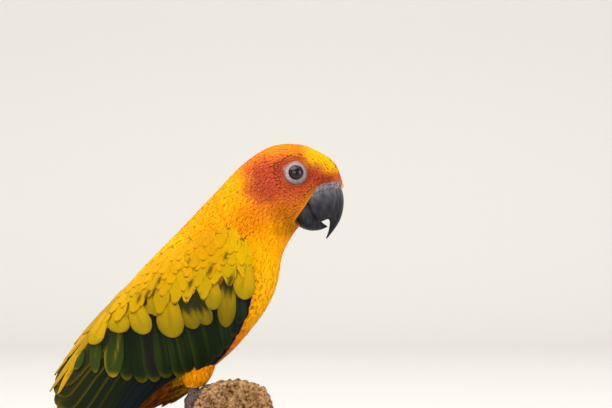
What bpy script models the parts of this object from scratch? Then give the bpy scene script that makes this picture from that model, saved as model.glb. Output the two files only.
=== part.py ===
"""A sun conure at life size, perched on a cut length of branch over a plain display stand.

Sizes are in millimetres in the bird's own plane: x forward, y to the bird's left, z up, with the
origin on the branch's axis at its near end. At the end everything is moved to the stand's frame
and scaled to metres, with the origin at the middle of the base's underside.
"""

import math

import bmesh
import bpy
from mathutils import Matrix, Vector

MM = 0.001
GAP = 0.3  # between nodes that meet
STAND_SHIFT = Vector((12.0, 0.0, 114.0))  # from the bird's origin to the middle of the base

# The body from bill to tail: a point on the back's line, one on the belly's line, half the width.
BODY_ROWS = [
    (45.6, 97.9, 25.6, 78.4, 3.8),  # bill base
    (42.5, 105.6, 23.4, 74.6, 7.1),  # brow
    (36.5, 110.5, 21.6, 71.4, 11.0),  # lore
    (27.0, 114.2, 20.2, 68.4, 14.2),  # crown
    (15.0, 113.4, 19.3, 65.4, 15.0),  # back of the crown
    (3.0, 105.8, 18.8, 62.4, 15.2),  # nape
    (-8.5, 94.0, 18.2, 58.2, 16.8),  # hind neck
    (-23.8, 77.9, 15.7, 49.8, 20.5),  # mantle
    (-41.0, 60.3, 9.0, 38.8, 22.5),  # back
    (-55.5, 42.9, -4.5, 23.8, 20.5),  # rump
    (-66.5, 27.6, -24.5, 10.2, 15.0),  # vent
    (-72.8, 16.5, -43.5, -1.0, 10.0),  # root of the tail
    (-77.0, -2.0, -61.0, -15.5, 7.0),  # tail coverts
    (-89.0, -24.0, -79.0, -31.0, 4.0),  # end of the coverts
]
HEAD_END = 4.4
NECK_END = 5.9
TORSO_END = 11.0
TAIL_CORE_END = 12.9
BODY_ROUNDNESS = 2.15
BODY_SIDES = 24

# The folded wings leave the body at the vent and run on past it.
WING_ROWS = [(a, b, c, d, w + 0.8) for a, b, c, d, w in BODY_ROWS[:11]] + [
    (-78.0, 10.0, -36.0, -9.0, 14.0),
    (-90.0, -10.0, -52.0, -28.0, 12.3),
    (-104.0, -33.0, -70.0, -50.0, 10.8),
]
WING_ROUNDNESS = 2.7
# Where the wing's arm starts and stops across the body, as shares from back to belly.
WING_ARM = [
    # place along, upper edge, lower edge, depth, height over the body
    (6.12, 0.42, 0.56, 4.0, 0.8),
    (6.45, 0.30, 0.69, 5.0, 2.0),
    (7.0, 0.15, 0.80, 6.0, 2.6),
    (7.5, 0.09, 0.87, 6.0, 2.5),
    (8.0, 0.045, 0.91, 6.0, 2.2),
    (8.5, 0.02, 0.93, 6.0, 1.9),
    (9.0, 0.012, 0.93, 5.0, 1.5),
    (9.5, 0.015, 0.90, 4.5, 1.2),
    (10.0, 0.04, 0.82, 3.0, 1.0),
    (10.5, 0.20, 0.68, 1.2, 0.7),
]
VANE_THICK = 0.7

# Each tier of the wing: its feathers' roots and tips from the leading edge to the back, as
# points in profile, then their count, width and height over the wing's surface.
PRIMARIES = {
    "roots": [(-4.0, 31.0), (-14.0, 33.0), (-27.0, 36.0)],
    "tips": [(-86.5, -31.5), (-83.5, -20.0), (-72.0, 0.0)],
    "count": 6,
    "width": 10.5,
    "height": 0.0,
    "lift": 0.35,
}
SECONDARIES = {
    "roots": [(-14.0, 40.0), (-32.0, 42.0), (-44.0, 50.0)],
    "tips": [(-53.0, 0.5), (-66.0, -3.0), (-71.5, 12.0)],
    "count": 5,
    "width": 11.5,
    "height": 1.9,
    "lift": 0.3,
}
PRIMARY_COVERTS = {
    "roots": [(5.5, 54.0), (3.0, 50.0)],
    "tips": [(-9.0, 23.5), (-1.0, 32.5)],
    "count": 3,
    "width": 5.5,
    "height": 1.2,
    "lift": 0.35,
}
GREATER_COVERTS = {
    "roots": [(1.0, 53.0), (-16.0, 50.0), (-32.0, 46.0), (-46.0, 42.0)],
    "tips": [(-3.0, 31.0), (-17.0, 19.0), (-35.0, 15.5), (-52.0, 16.5)],
    "count": 8,
    "width": 9.5,
    "height": 2.5,
    "lift": 0.12,
}
MEDIAN_COVERTS = {
    "roots": [(3.5, 63.0), (-14.0, 58.0), (-34.0, 50.0), (-50.0, 45.0)],
    "tips": [(2.8, 48.6), (-12.0, 37.5), (-30.0, 33.0), (-58.0, 29.5)],
    "count": 8,
    "width": 9.5,
    "height": 3.1,
    "lift": 0.06,
}
LESSER_COVERTS = {
    "roots": [(4.0, 70.0), (-10.0, 70.0), (-26.0, 66.0), (-38.0, 58.0)],
    "tips": [(6.3, 57.0), (-7.0, 51.5), (-26.0, 47.0), (-44.0, 44.5)],
    "count": 6,
    "width": 10.0,
    "height": 3.5,
    "lift": 0.05,
}
SHOULDER_COVERTS = {
    "roots": [(1.0, 74.0), (-8.0, 76.5), (-17.0, 74.0)],
    "tips": [(5.5, 65.0), (-6.0, 61.5), (-24.0, 58.0)],
    "count": 4,
    "width": 10.5,
    "height": 3.8,
    "lift": 0.05,
}
SCAPULARS = {
    "roots": [(-22.0, 74.5), (-39.5, 58.5), (-52.0, 44.5), (-59.0, 36.0)],
    "tips": [(-38.0, 61.0), (-51.5, 46.0), (-62.5, 31.5), (-72.5, 17.0)],
    "count": 5,
    "width": 12.0,
    "height": 2.2,
    "lift": 0.15,
}
WING_TIERS = [
    PRIMARIES,
    SECONDARIES,
    SCAPULARS,
    PRIMARY_COVERTS,
    GREATER_COVERTS,
    MEDIAN_COVERTS,
    LESSER_COVERTS,
    SHOULDER_COVERTS,
]

# The tail: six pairs of feathers, the middle pair the longest.
TAIL_ROOT = Vector((-64.5, 0.0, 1.0))
TAIL_TIP = Vector((-143.0, 0.0, -103.5))
TAIL_PAIRS = 6
TAIL_SHORTEST = 0.52  # outermost feather's length as a share of the middle one's
TAIL_FEATHER_WIDTH = 11.0
TAIL_STEP = 0.55  # each pair lies this much lower than the one inside it
TAIL_ROOF = 24.0  # the outermost feathers slope down at the sides by this many degrees
TAIL_COVERTS = 5

# The bill, from inside the face to its tip: ridge, cutting edge, half the width.
UPPER_BILL_ROWS = [
    (37.5, 98.4, 28.6, 93.6, 7.4),
    (43.2, 98.5, 31.2, 89.8, 8.5),
    (45.0, 95.2, 32.8, 86.0, 8.3),
    (45.8, 91.7, 34.4, 82.2, 7.5),
    (45.8, 88.3, 36.6, 81.9, 6.2),
    (45.3, 85.2, 38.9, 82.6, 4.7),
    (44.2, 81.9, 39.7, 81.3, 3.4),
    (42.4, 78.9, 39.6, 79.1, 2.4),
    (40.6, 76.5, 39.2, 77.0, 1.4),
    (38.6, 74.1, 38.3, 74.4, 0.3),
]
LOWER_BILL_ROWS = [
    (23.5, 91.5, 19.8, 83.4, 6.2),
    (29.2, 89.6, 24.3, 81.5, 7.3),
    (31.4, 87.0, 27.4, 79.0, 6.9),
    (33.3, 84.2, 31.0, 77.7, 5.9),
    (35.2, 82.0, 33.9, 77.6, 4.6),
    (36.6, 80.9, 36.2, 78.0, 3.1),
    (38.9, 79.5, 38.8, 79.1, 0.5),
]
BILL_SIDES = 14
BILL_ROUND_SIDE = 2.2  # the upper bill's ridge and the lower bill's keel
BILL_EDGE_SIDE = 4.5  # where the two halves meet
CERE_THICK = 0.5
NOSTRIL_RADIUS = 0.8
NOSTRIL = (39.1, 95.5)

EYE_PLACE = (25.5, 102.1)
EYE_RADIUS = 3.9
EYE_DEPTH = 2.45  # from the head's surface in to the eye's middle
LID_RADIUS = 4.3
LID_WIDTH = 1.1
LID_HEIGHT = 0.75

# The branch: centre, radius and place along y, from the near cut end to the far one.
PERCH_ROWS = [
    # y, x, z, radius
    (-50.0, 0.5, 0.3, 15.6),
    (-48.0, 0.3, 0.2, 17.0),
    (-40.0, 0.0, 0.0, 17.4),
    (-31.0, -1.2, -1.2, 16.3),
    (-22.0, -3.2, -3.0, 14.6),
    (-13.0, -4.2, -3.7, 14.0),
    (0.0, -5.6, -5.2, 13.8),
    (13.0, -6.6, -6.6, 13.6),
    (28.0, -7.8, -8.2, 13.9),
    (42.0, -8.8, -9.8, 14.4),
    (54.0, -9.6, -11.0, 14.0),
    (56.0, -9.8, -11.2, 12.8),
]
PERCH_SIDES = 20

THIGH_ROWS = [
    # x, z, distance from the middle, half-length fore and aft, half-width
    (-17.5, 31.0, 10.0, 8.0, 5.5),
    (-17.5, 25.0, 11.0, 7.6, 5.4),
    (-17.2, 20.0, 11.8, 6.6, 4.9),
    (-17.4, 16.0, 12.3, 5.2, 4.2),
    (-17.8, 13.0, 12.6, 3.6, 3.2),
    (-18.0, 11.8, 12.7, 2.6, 2.4),
]
FOOT_MIDDLE = 13.0  # distance of each foot from the bird's middle
FOOT_ANGLE = {"right": 146.0, "left": 141.0}  # round the branch, from straight ahead
PAD_RADIUS = 2.7
TOE_RADIUS = 2.0
# Toes 2 and 3 point forward, 1 and 4 back: turn round the branch in degrees, spread sideways.
TOES = [
    (-46.0, -6.0, 0.92),
    (-68.0, 3.2, 1.0),
    (34.0, -5.0, 0.88),
    (56.0, 5.5, 1.0),
]
CLAW_TURN = 22.0
CLAW_RADIUS = 1.0

BASE_SIZE = (150.0, 104.0, 12.0)
BASE_CORNER = 3.2
ROD_RADIUS = 3.0
ROD_PLACES = (-27.0, 30.0)
ROD_SINK = 6.0

FLAT_WITHIN = 1.0  # triangles this near to one plane, in degrees, are drawn again as fewer

COLOURS = {
    "plumage_orange": (0.90, 0.36, 0.02, 1.0),
    "plumage_yellow": (0.88, 0.55, 0.02, 1.0),
    "plumage_green": (0.03, 0.09, 0.02, 1.0),
    "face_orange": (0.72, 0.13, 0.02, 1.0),
    "horn_black": (0.018, 0.018, 0.022, 1.0),
    "eye_dark": (0.012, 0.010, 0.012, 1.0),
    "foot_grey": (0.12, 0.10, 0.09, 1.0),
    "weathered_wood": (0.32, 0.20, 0.11, 1.0),
    "stand_wood": (0.07, 0.045, 0.03, 1.0),
    "stand_steel": (0.35, 0.35, 0.36, 1.0),
}
ROUGHNESS = {"horn_black": 0.35, "eye_dark": 0.08, "stand_steel": 0.3, "stand_wood": 0.4}


def clear_scene():
    for obj in list(bpy.data.objects):
        bpy.data.objects.remove(obj, do_unlink=True)


def material(name):
    made = bpy.data.materials.get(name)
    if made is None:
        made = bpy.data.materials.new(name)
        made.use_nodes = True
        shader = made.node_tree.nodes["Principled BSDF"]
        shader.inputs["Base Color"].default_value = COLOURS[name]
        shader.inputs["Roughness"].default_value = ROUGHNESS.get(name, 0.65)
        shader.inputs["Metallic"].default_value = 1.0 if name == "stand_steel" else 0.0
    return made


def mesh_object(name, points, faces):
    """A mesh object in metres from points in the bird's millimetres, with its faces facing out."""
    mesh = bpy.data.meshes.new(name)
    mesh.from_pydata([(Vector(p) + STAND_SHIFT) * MM for p in points], [], faces)
    work = bmesh.new()
    work.from_mesh(mesh)
    bmesh.ops.recalc_face_normals(work, faces=work.faces)
    bmesh.ops.triangulate(work, faces=work.faces)
    work.to_mesh(mesh)
    work.free()
    obj = bpy.data.objects.new(name, mesh)
    bpy.context.scene.collection.objects.link(obj)
    return obj


def loft(name, rings):
    """One closed body through rings of equal count, with flat caps on the first and the last."""
    count = len(rings[0])
    points = [p for ring in rings for p in ring]
    faces = []
    for r in range(len(rings) - 1):
        for k in range(count):
            a = r * count + k
            b = r * count + (k + 1) % count
            faces.append((a, b, b + count, a + count))
    faces.append(tuple(reversed(range(count))))
    faces.append(tuple(range((len(rings) - 1) * count, len(rings) * count)))
    return mesh_object(name, points, faces)


def between(rows, at):
    """The row at a place along the list, on a smooth curve through the rows."""
    i = min(int(math.floor(at)), len(rows) - 2)
    t = at - i
    before = rows[max(i - 1, 0)]
    after = rows[min(i + 2, len(rows) - 1)]
    found = []
    for p0, p1, p2, p3 in zip(before, rows[i], rows[i + 1], after):
        bend = 2 * p0 - 5 * p1 + 4 * p2 - p3
        twist = 3 * p1 - p0 - 3 * p2 + p3
        found.append(0.5 * (2 * p1 + (p2 - p0) * t + bend * t * t + twist * t**3))
    return found


def rounded(value, roundness):
    """The sine or cosine of a superellipse."""
    return math.copysign(abs(value) ** (2 / roundness), value)


def hull_point(rows, at, angle, grow=0.0, roundness=BODY_ROUNDNESS):
    """A point on a lofted form: angle 0 is its back, a quarter turn its right side."""
    back_x, back_z, belly_x, belly_z, half_width = between(rows, at)
    back = Vector((back_x, 0.0, back_z))
    belly = Vector((belly_x, 0.0, belly_z))
    rise = back - belly
    half_depth = rise.length / 2 + grow
    up = rise.normalized() * half_depth * rounded(math.cos(angle), roundness)
    side = Vector((0.0, -1.0, 0.0)) * (half_width + grow) * rounded(math.sin(angle), roundness)
    return (back + belly) / 2 + up + side


def hull_ring(rows, at, sides, grow=0.0, roundness=BODY_ROUNDNESS, shift=0.0):
    """A ring of a lofted form, moved by shift along the form's run."""
    ring = [hull_point(rows, at, math.tau * k / sides, grow, roundness) for k in range(sides)]
    back_x, back_z, belly_x, belly_z, _ = between(rows, at)
    run = Vector((-(back_z - belly_z), 0.0, back_x - belly_x)).normalized()
    return [p + run * shift for p in ring]


def steps(first, last, count):
    return [first + (last - first) * k / (count - 1) for k in range(count)]


def fuse(name, pieces, operation="UNION", solver="EXACT"):
    """Joins the pieces to the first of them, or cuts them from it, and keeps one closed body."""
    base = pieces[0]
    group = bpy.data.collections.new(name + "_pieces")
    bpy.context.scene.collection.children.link(group)
    for piece in pieces[1:]:
        bpy.context.scene.collection.objects.unlink(piece)
        group.objects.link(piece)
    joined = base.modifiers.new("join", "BOOLEAN")
    joined.operation = operation
    joined.operand_type = "COLLECTION"
    joined.collection = group
    joined.solver = solver
    if solver == "EXACT":
        joined.use_self = False
    bpy.context.view_layer.update()
    graph = bpy.context.evaluated_depsgraph_get()
    mesh = bpy.data.meshes.new_from_object(base.evaluated_get(graph))
    base.modifiers.clear()
    base.data = mesh
    for piece in list(group.objects):
        bpy.data.objects.remove(piece, do_unlink=True)
    bpy.data.collections.remove(group)
    base.name = name
    keep_largest(base)
    return base


def keep_largest(obj):
    """Leaves only the closed surface with the largest box, with its near-flat slivers redrawn."""
    work = bmesh.new()
    work.from_mesh(obj.data)
    bmesh.ops.triangulate(work, faces=work.faces)
    left = set(work.faces)
    shells = []
    while left:
        found = {left.pop()}
        edge_of = list(found)
        while edge_of:
            face = edge_of.pop()
            for edge in face.edges:
                for other in edge.link_faces:
                    if other not in found:
                        found.add(other)
                        edge_of.append(other)
        left -= found
        shells.append(found)

    def size(shell):
        spans = []
        for axis in range(3):
            values = [v.co[axis] for face in shell for v in face.verts]
            spans.append(max(values) - min(values))
        return spans[0] * spans[1] * spans[2]

    shells.sort(key=size, reverse=True)
    scraps = [face for shell in shells[1:] for face in shell]
    bmesh.ops.delete(work, geom=scraps, context="FACES")
    lone = [v for v in work.verts if not v.link_faces]
    bmesh.ops.delete(work, geom=lone, context="VERTS")
    work.to_mesh(obj.data)
    for merge, flat in ((0.001, FLAT_WITHIN), (0.0, FLAT_WITHIN), (0.001, 0.0)):
        tidied = work.copy()
        if merge:
            bmesh.ops.remove_doubles(tidied, verts=tidied.verts, dist=merge * MM)
        if flat:
            limit = math.radians(flat)
            bmesh.ops.dissolve_limit(
                tidied, angle_limit=limit, verts=tidied.verts, edges=tidied.edges
            )
        bmesh.ops.triangulate(tidied, faces=tidied.faces)
        if all(len(edge.link_faces) == 2 for edge in tidied.edges):
            tidied.to_mesh(obj.data)
            tidied.free()
            break
        tidied.free()
    work.free()


def finish(obj, material_name):
    """Gives a node its one material and smooth shading with sharp edges."""
    obj.data.materials.clear()
    obj.data.materials.append(material(material_name))
    for polygon in obj.data.polygons:
        polygon.material_index = 0
        polygon.use_smooth = True
    obj.data.set_sharp_from_angle(angle=math.radians(35))
    return obj


def mirrored(obj, name):
    """The same node on the bird's left side."""
    mesh = obj.data.copy()
    mesh.transform(Matrix.Scale(-1.0, 4, Vector((0.0, 1.0, 0.0))))
    mesh.flip_normals()
    made = bpy.data.objects.new(name, mesh)
    mesh.name = name
    bpy.context.scene.collection.objects.link(made)
    return made


def placed(rows, x, z, first, last, roundness):
    """Where a point in profile lies on a lofted form: its place along and its angle."""

    def miss(at):
        back_x, back_z, belly_x, belly_z, _ = between(rows, at)
        return (belly_x - back_x) * (z - back_z) - (belly_z - back_z) * (x - back_x)

    places = steps(first, last, 60)
    low = places[0]
    high = places[-1]
    for a, b in zip(places, places[1:]):
        if miss(a) * miss(b) <= 0:
            low, high = a, b
            break
    for _ in range(20):
        middle = (low + high) / 2
        if miss(low) * miss(middle) <= 0:
            high = middle
        else:
            low = middle
    at = (low + high) / 2
    back_x, back_z, belly_x, belly_z, _ = between(rows, at)
    across = Vector((belly_x - back_x, belly_z - back_z))
    share = Vector((x - back_x, z - back_z)).dot(across) / across.length_squared
    height = max(-0.985, min(0.985, 1 - 2 * share))
    return at, math.acos(math.copysign(abs(height) ** (roundness / 2), height))


def on_curve(points, share):
    """A point part of the way along a smooth curve through a few points in profile."""
    return between(points, share * (len(points) - 1))


def wing_surface(at, angle, height):
    return hull_point(WING_ROWS, at, angle, height, WING_ROUNDNESS)


def wing_vane(name, root, tip, width, root_height, tip_height, shares, narrowing):
    """A feather that lies on the wing's surface from its root to its tip."""
    first = placed(WING_ROWS, root[0], root[1], 5.9, 13.0, WING_ROUNDNESS)
    last = placed(WING_ROWS, tip[0], tip[1], 5.9, 13.0, WING_ROUNDNESS)
    small = 0.01
    rings = []
    for share, narrow in zip(shares, narrowing):
        at = first[0] + (last[0] - first[0]) * share
        angle = first[1] + (last[1] - first[1]) * share
        height = root_height + (tip_height - root_height) * share
        here = wing_surface(at, angle, height)
        by_at = (wing_surface(at + small, angle, height) - here) / small
        by_angle = (wing_surface(at, angle + small, height) - here) / small
        run = by_at * (last[0] - first[0]) + by_angle * (last[1] - first[1])
        out = by_at.cross(by_angle).normalized()
        if out.y > 0:
            out = -out
        side = out.cross(run).normalized()
        half = width * narrow / 2
        grid = Matrix((by_at, by_angle, out)).transposed().inverted()
        turn = grid @ (side * half)
        right = wing_surface(at + turn[0], max(0.09, angle + turn[1]), height)
        left = wing_surface(at - turn[0], max(0.09, angle - turn[1]), height)
        thin = VANE_THICK / 2
        rings.append(
            [
                left + out * (thin * 0.3),
                here + out * (thin * 1.6),
                right + out * (thin * 0.3),
                here - out * thin,
            ]
        )
    return loft(name, rings)


def wing_arm():
    """The feathered arm of the folded wing, from the shoulder past the wrist."""
    outside = []
    inside = []
    across = 7
    for at, top, bottom, depth, height in WING_ARM:
        first = math.acos(rounded_share(1 - 2 * top))
        last = math.acos(rounded_share(1 - 2 * bottom))
        outer_line = []
        inner_line = []
        for k, angle in enumerate(steps(first, last, across)):
            swell = math.sin(math.pi * k / (across - 1)) ** 0.5
            outer_line.append(wing_surface(at, angle, 0.2 + height * swell))
            inner_line.append(wing_surface(at, angle, -depth))
        outside.append(outer_line)
        inside.append(inner_line)
    rings = [a + list(reversed(b)) for a, b in zip(outside, inside)]
    return loft("arm", rings)


def rounded_share(height):
    return math.copysign(abs(height) ** (WING_ROUNDNESS / 2), height)


def right_wing(body_cutter, thigh_cutter):
    long_shares = (0.0, 0.35, 0.72, 0.93, 1.0)
    long_narrowing = (0.6, 0.95, 0.9, 0.6, 0.2)
    short_shares = (0.0, 0.45, 0.85, 1.0)
    short_narrowing = (0.7, 1.0, 0.82, 0.3)
    pieces = [wing_arm()]
    for tier in WING_TIERS:
        is_long = tier in (PRIMARIES, SECONDARIES)
        for k in range(tier["count"]):
            share = k / (tier["count"] - 1)
            lift = tier["lift"] * k
            pieces.append(
                wing_vane(
                    "vane",
                    on_curve(tier["roots"], share),
                    on_curve(tier["tips"], share),
                    tier["width"],
                    tier["height"] + lift - 0.7,
                    tier["height"] + lift,
                    long_shares if is_long else short_shares,
                    long_narrowing if is_long else short_narrowing,
                )
            )
    wing = fuse("wing_right", pieces, "UNION", "MANIFOLD")
    return fuse("wing_right", [wing, body_cutter, thigh_cutter], "DIFFERENCE", "MANIFOLD")


def body_places(first, last):
    """The places of a stretch of the body's rings, under half a row apart."""
    count = max(3, round((last - first) * 2.3) + 1)
    return steps(first, last, count)


def body_part(name, first, last):
    """One stretch of the body, cut square to its run with half the gap taken off each end."""
    places = body_places(first, last)
    rings = []
    for place in places:
        if place == places[0] and first > 0:
            shift = GAP / 2
        elif place == places[-1]:
            shift = -GAP / 2
        else:
            shift = 0.0
        rings.append(hull_ring(BODY_ROWS, place, BODY_SIDES, 0.0, BODY_ROUNDNESS, shift))
    return loft(name, rings)


def body_cutter():
    """The neck, torso and root of the tail, grown by the gap, to cut what lies on them."""
    places = body_places(HEAD_END, NECK_END) + body_places(NECK_END, TORSO_END)[1:]
    places += body_places(TORSO_END, TAIL_CORE_END)[1:]
    rings = [hull_ring(BODY_ROWS, p, BODY_SIDES, GAP, BODY_ROUNDNESS) for p in places]
    return loft("body_cutter", rings)


def bill_point(rows, at, angle, grow=0.0):
    """A point on one half of the bill, rounded on its outer side and square where they meet."""
    outer = (math.cos(angle) > 0) == (rows is UPPER_BILL_ROWS)
    return hull_point(rows, at, angle, grow, BILL_ROUND_SIDE if outer else BILL_EDGE_SIDE)


def bill_rings(rows, places, grow=0.0):
    turns = [math.tau * k / BILL_SIDES for k in range(BILL_SIDES)]
    return [[bill_point(rows, p, turn, grow) for turn in turns] for p in places]


def bill_places(rows):
    return range(len(rows))


def eye_seat(side):
    """The eye's middle and the way it looks out, on the bird's right (-1) or left (1)."""
    at, angle = placed(BODY_ROWS, EYE_PLACE[0], EYE_PLACE[1], 0.5, 5.0, BODY_ROUNDNESS)
    on_skin = hull_point(BODY_ROWS, at, angle)
    small = 0.02
    by_at = hull_point(BODY_ROWS, at + small, angle) - hull_point(BODY_ROWS, at - small, angle)
    by_angle = hull_point(BODY_ROWS, at, angle + small) - hull_point(BODY_ROWS, at, angle - small)
    out = by_at.cross(by_angle).normalized()
    if out.y > 0:
        out = -out
    out = (out + Vector((0.0, -1.0, 0.0))).normalized()
    middle = on_skin - out * EYE_DEPTH
    flip = Vector((1.0, -side, 1.0))
    return middle * flip, out * flip


def ball(name, middle, radius, around=18, up=11):
    """A sphere about its own upright axis."""
    top = Vector(middle) + Vector((0.0, radius, 0.0))
    bottom = Vector(middle) - Vector((0.0, radius, 0.0))
    points = [top]
    for i in range(1, up):
        fall = math.pi * i / up
        for k in range(around):
            turn = math.tau * k / around
            ring = Vector((math.cos(turn), 0.0, math.sin(turn))) * math.sin(fall)
            points.append(Vector(middle) + (ring + Vector((0.0, math.cos(fall), 0.0))) * radius)
    points.append(bottom)
    faces = []
    for k in range(around):
        after = (k + 1) % around
        faces.append((0, 1 + k, 1 + after))
        low = 1 + (up - 2) * around
        faces.append((len(points) - 1, low + after, low + k))
        for i in range(up - 2):
            a = 1 + i * around
            faces.append((a + k, a + around + k, a + around + after, a + after))
    return mesh_object(name, points, faces)


def hoop(name, middle, axis, radius, width, height, around=18, sides=6):
    """A round band about an axis, as the bare lids round an eye."""
    across = axis.cross(Vector((0.0, 0.0, 1.0))).normalized()
    up = across.cross(axis)
    points = []
    for k in range(around):
        turn = math.tau * k / around
        spoke = across * math.cos(turn) + up * math.sin(turn)
        for j in range(sides):
            roll = math.tau * j / sides
            points.append(
                middle + spoke * (radius + width * math.cos(roll)) + axis * height * math.sin(roll)
            )
    faces = []
    for k in range(around):
        after = (k + 1) % around
        for j in range(sides):
            beside = (j + 1) % sides
            faces.append(
                (k * sides + j, k * sides + beside, after * sides + beside, after * sides + j)
            )
    return mesh_object(name, points, faces)


def head_with_bill():
    """The head with its lids and cere, and the two halves of the bill seated in it."""
    head = body_part("head", 0.0, HEAD_END)
    parts = [head]
    for side in (-1, 1):
        middle, out = eye_seat(side)
        rim = middle + out * (EYE_DEPTH + 0.15)
        parts.append(hoop("lid", rim, out, LID_RADIUS, LID_WIDTH, LID_HEIGHT))
    cere = loft("cere", bill_rings(UPPER_BILL_ROWS, (0.2, 0.6, 1.0, 1.3, 1.36), CERE_THICK))
    parts.append(cere)
    head = fuse("head", parts, "UNION", "MANIFOLD")
    cutters = [head]
    for side in (-1, 1):
        middle, out = eye_seat(side)
        cutters.append(ball("socket", middle, EYE_RADIUS + GAP, 16, 9))
        at, angle = placed(UPPER_BILL_ROWS, NOSTRIL[0], NOSTRIL[1], 0.2, 3.0, BILL_ROUND_SIDE)
        pit = bill_point(UPPER_BILL_ROWS, at, angle, CERE_THICK) * Vector((1.0, -side, 1.0))
        cutters.append(ball("nostril", pit, NOSTRIL_RADIUS, 8, 5))
    for rows in (UPPER_BILL_ROWS, LOWER_BILL_ROWS):
        cutters.append(loft("bill_cutter", bill_rings(rows, bill_places(rows), GAP)))
    head = fuse("head", cutters, "DIFFERENCE", "MANIFOLD")
    upper = loft("bill_upper", bill_rings(UPPER_BILL_ROWS, bill_places(UPPER_BILL_ROWS)))
    lower = loft("bill_lower", bill_rings(LOWER_BILL_ROWS, bill_places(LOWER_BILL_ROWS)))
    between_them = loft("lower_cutter", bill_rings(LOWER_BILL_ROWS, bill_places(LOWER_BILL_ROWS), GAP))
    upper = fuse("bill_upper", [upper, between_them], "DIFFERENCE")
    finish(head, "face_orange")
    finish(upper, "horn_black")
    finish(lower, "horn_black")
    for side, word in ((-1, "right"), (1, "left")):
        middle, out = eye_seat(side)
        finish(ball("eye_" + word, middle, EYE_RADIUS, 16, 9), "eye_dark")


def flat_vane(name, root, tip, width, thick, down, shares, narrowing, bow=0.0):
    """A feather in its own plane, with the face away from down a little ridged."""
    run = (tip - root).normalized()
    side = down.cross(run).normalized()
    rings = []
    for share, narrow in zip(shares, narrowing):
        sag = down * (bow * 4 * share * (1 - share))
        here = root + (tip - root) * share + sag
        half = side * (width * narrow / 2)
        up = -down * (thick / 2)
        rings.append([here + half + up * 0.2, here + up * 1.6, here - half + up * 0.2, here - up])
    return loft(name, rings)


def tail():
    """The tail's root with its coverts, and twelve graduated feathers fanned a little."""
    places = body_places(TORSO_END, TAIL_CORE_END)
    rings = [hull_ring(BODY_ROWS, p, BODY_SIDES) for p in places]
    rings[0] = hull_ring(BODY_ROWS, TORSO_END, BODY_SIDES, 0.0, BODY_ROUNDNESS, GAP / 2)
    pieces = [loft("tail", rings)]
    run = (TAIL_TIP - TAIL_ROOT).normalized()
    side = Vector((0.0, 1.0, 0.0))
    down = side.cross(run).normalized()
    if down.z > 0:
        down = -down
    length = (TAIL_TIP - TAIL_ROOT).length
    shares = (0.0, 0.3, 0.75, 0.93, 1.0)
    narrowing = (0.45, 0.8, 1.0, 0.68, 0.16)
    for pair in range(TAIL_PAIRS):
        out = pair / (TAIL_PAIRS - 1)
        reach = length * (1 - (1 - TAIL_SHORTEST) * out)
        for hand in (-1, 1):
            start = TAIL_ROOT + side * hand * (0.7 + 2.0 * out) + down * (TAIL_STEP * pair)
            swing = math.radians(0.4 + 2.3 * out) * hand
            tip = start + (run * math.cos(swing) + side * math.sin(swing)) * reach
            width = TAIL_FEATHER_WIDTH * (1 - 0.12 * out)
            roof = math.radians(TAIL_ROOF) * out * hand
            facing = down * math.cos(roof) - side * math.sin(roof)
            pieces.append(
                flat_vane("rectrix", start, tip, width, 0.75, facing, shares, narrowing, 1.2)
            )
    for above in (True, False):
        for k in range(TAIL_COVERTS):
            spread = (k / (TAIL_COVERTS - 1) - 0.5) * 2
            angle = spread * 0.85 if above else math.pi + spread * 0.8
            start = hull_point(BODY_ROWS, 11.25, angle, -1.2)
            reach = 13.15 - 0.35 * abs(spread)
            tip = hull_point(BODY_ROWS, reach, angle * 1.0, 0.7)
            facing = (hull_point(BODY_ROWS, 12.0, angle, 1.0) - hull_point(BODY_ROWS, 12.0, angle))
            pieces.append(
                flat_vane(
                    "covert", start, tip, 7.0, 0.8, -facing.normalized(),
                    (0.0, 0.5, 0.86, 1.0), (0.8, 1.0, 0.75, 0.2), -1.5
                )
            )
    return finish(fuse("tail", pieces, "UNION", "MANIFOLD"), "plumage_green")


def perch_centre(y):
    places = [row[0] for row in PERCH_ROWS]
    for i in range(len(places) - 1):
        if places[i] <= y <= places[i + 1]:
            share = (y - places[i]) / (places[i + 1] - places[i])
            low, high = PERCH_ROWS[i], PERCH_ROWS[i + 1]
            return [a + (b - a) * share for a, b in zip(low[1:], high[1:])]
    return PERCH_ROWS[-1][1:]


def perch_radius(y, turn):
    """The branch's radius, with the low ridges of weathered wood."""
    waves = 0.025 * math.sin(3 * turn + 0.6 + y / 40) + 0.018 * math.sin(5 * turn + 2.1 - y / 25)
    return perch_centre(y)[2] * (1 + waves)


def perch_point(y, turn, over):
    """A point over the branch's surface, turn being measured from straight ahead, upward."""
    x, z, _ = perch_centre(y)
    reach = perch_radius(y, turn) + over
    return Vector((x + reach * math.cos(turn), y, z + reach * math.sin(turn)))


def perch():
    rings = []
    for y, _, _, _ in PERCH_ROWS:
        turns = [math.tau * k / PERCH_SIDES for k in range(PERCH_SIDES)]
        rings.append([perch_point(y, turn, 0.0) for turn in turns])
    branch = loft("perch", rings)
    cutters = [branch] + [rod("cutter", y, GAP) for y in ROD_PLACES]
    return finish(fuse("perch", cutters, "DIFFERENCE"), "weathered_wood")


def rod(name, y, grow=0.0):
    """An upright rod from inside the base up into the branch, grown by the gap for its hole."""
    x, z, radius = perch_centre(y)
    foot = BASE_SIZE[2] - STAND_SHIFT.z - ROD_SINK - grow
    top = z - radius + ROD_SINK + 2.0 + grow
    rings = []
    for height in (foot, top):
        rings.append(
            [
                Vector((x, y, height))
                + Vector((math.cos(math.tau * k / 16), math.sin(math.tau * k / 16), 0.0))
                * (ROD_RADIUS + grow)
                for k in range(16)
            ]
        )
    return loft(name, rings)


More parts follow.
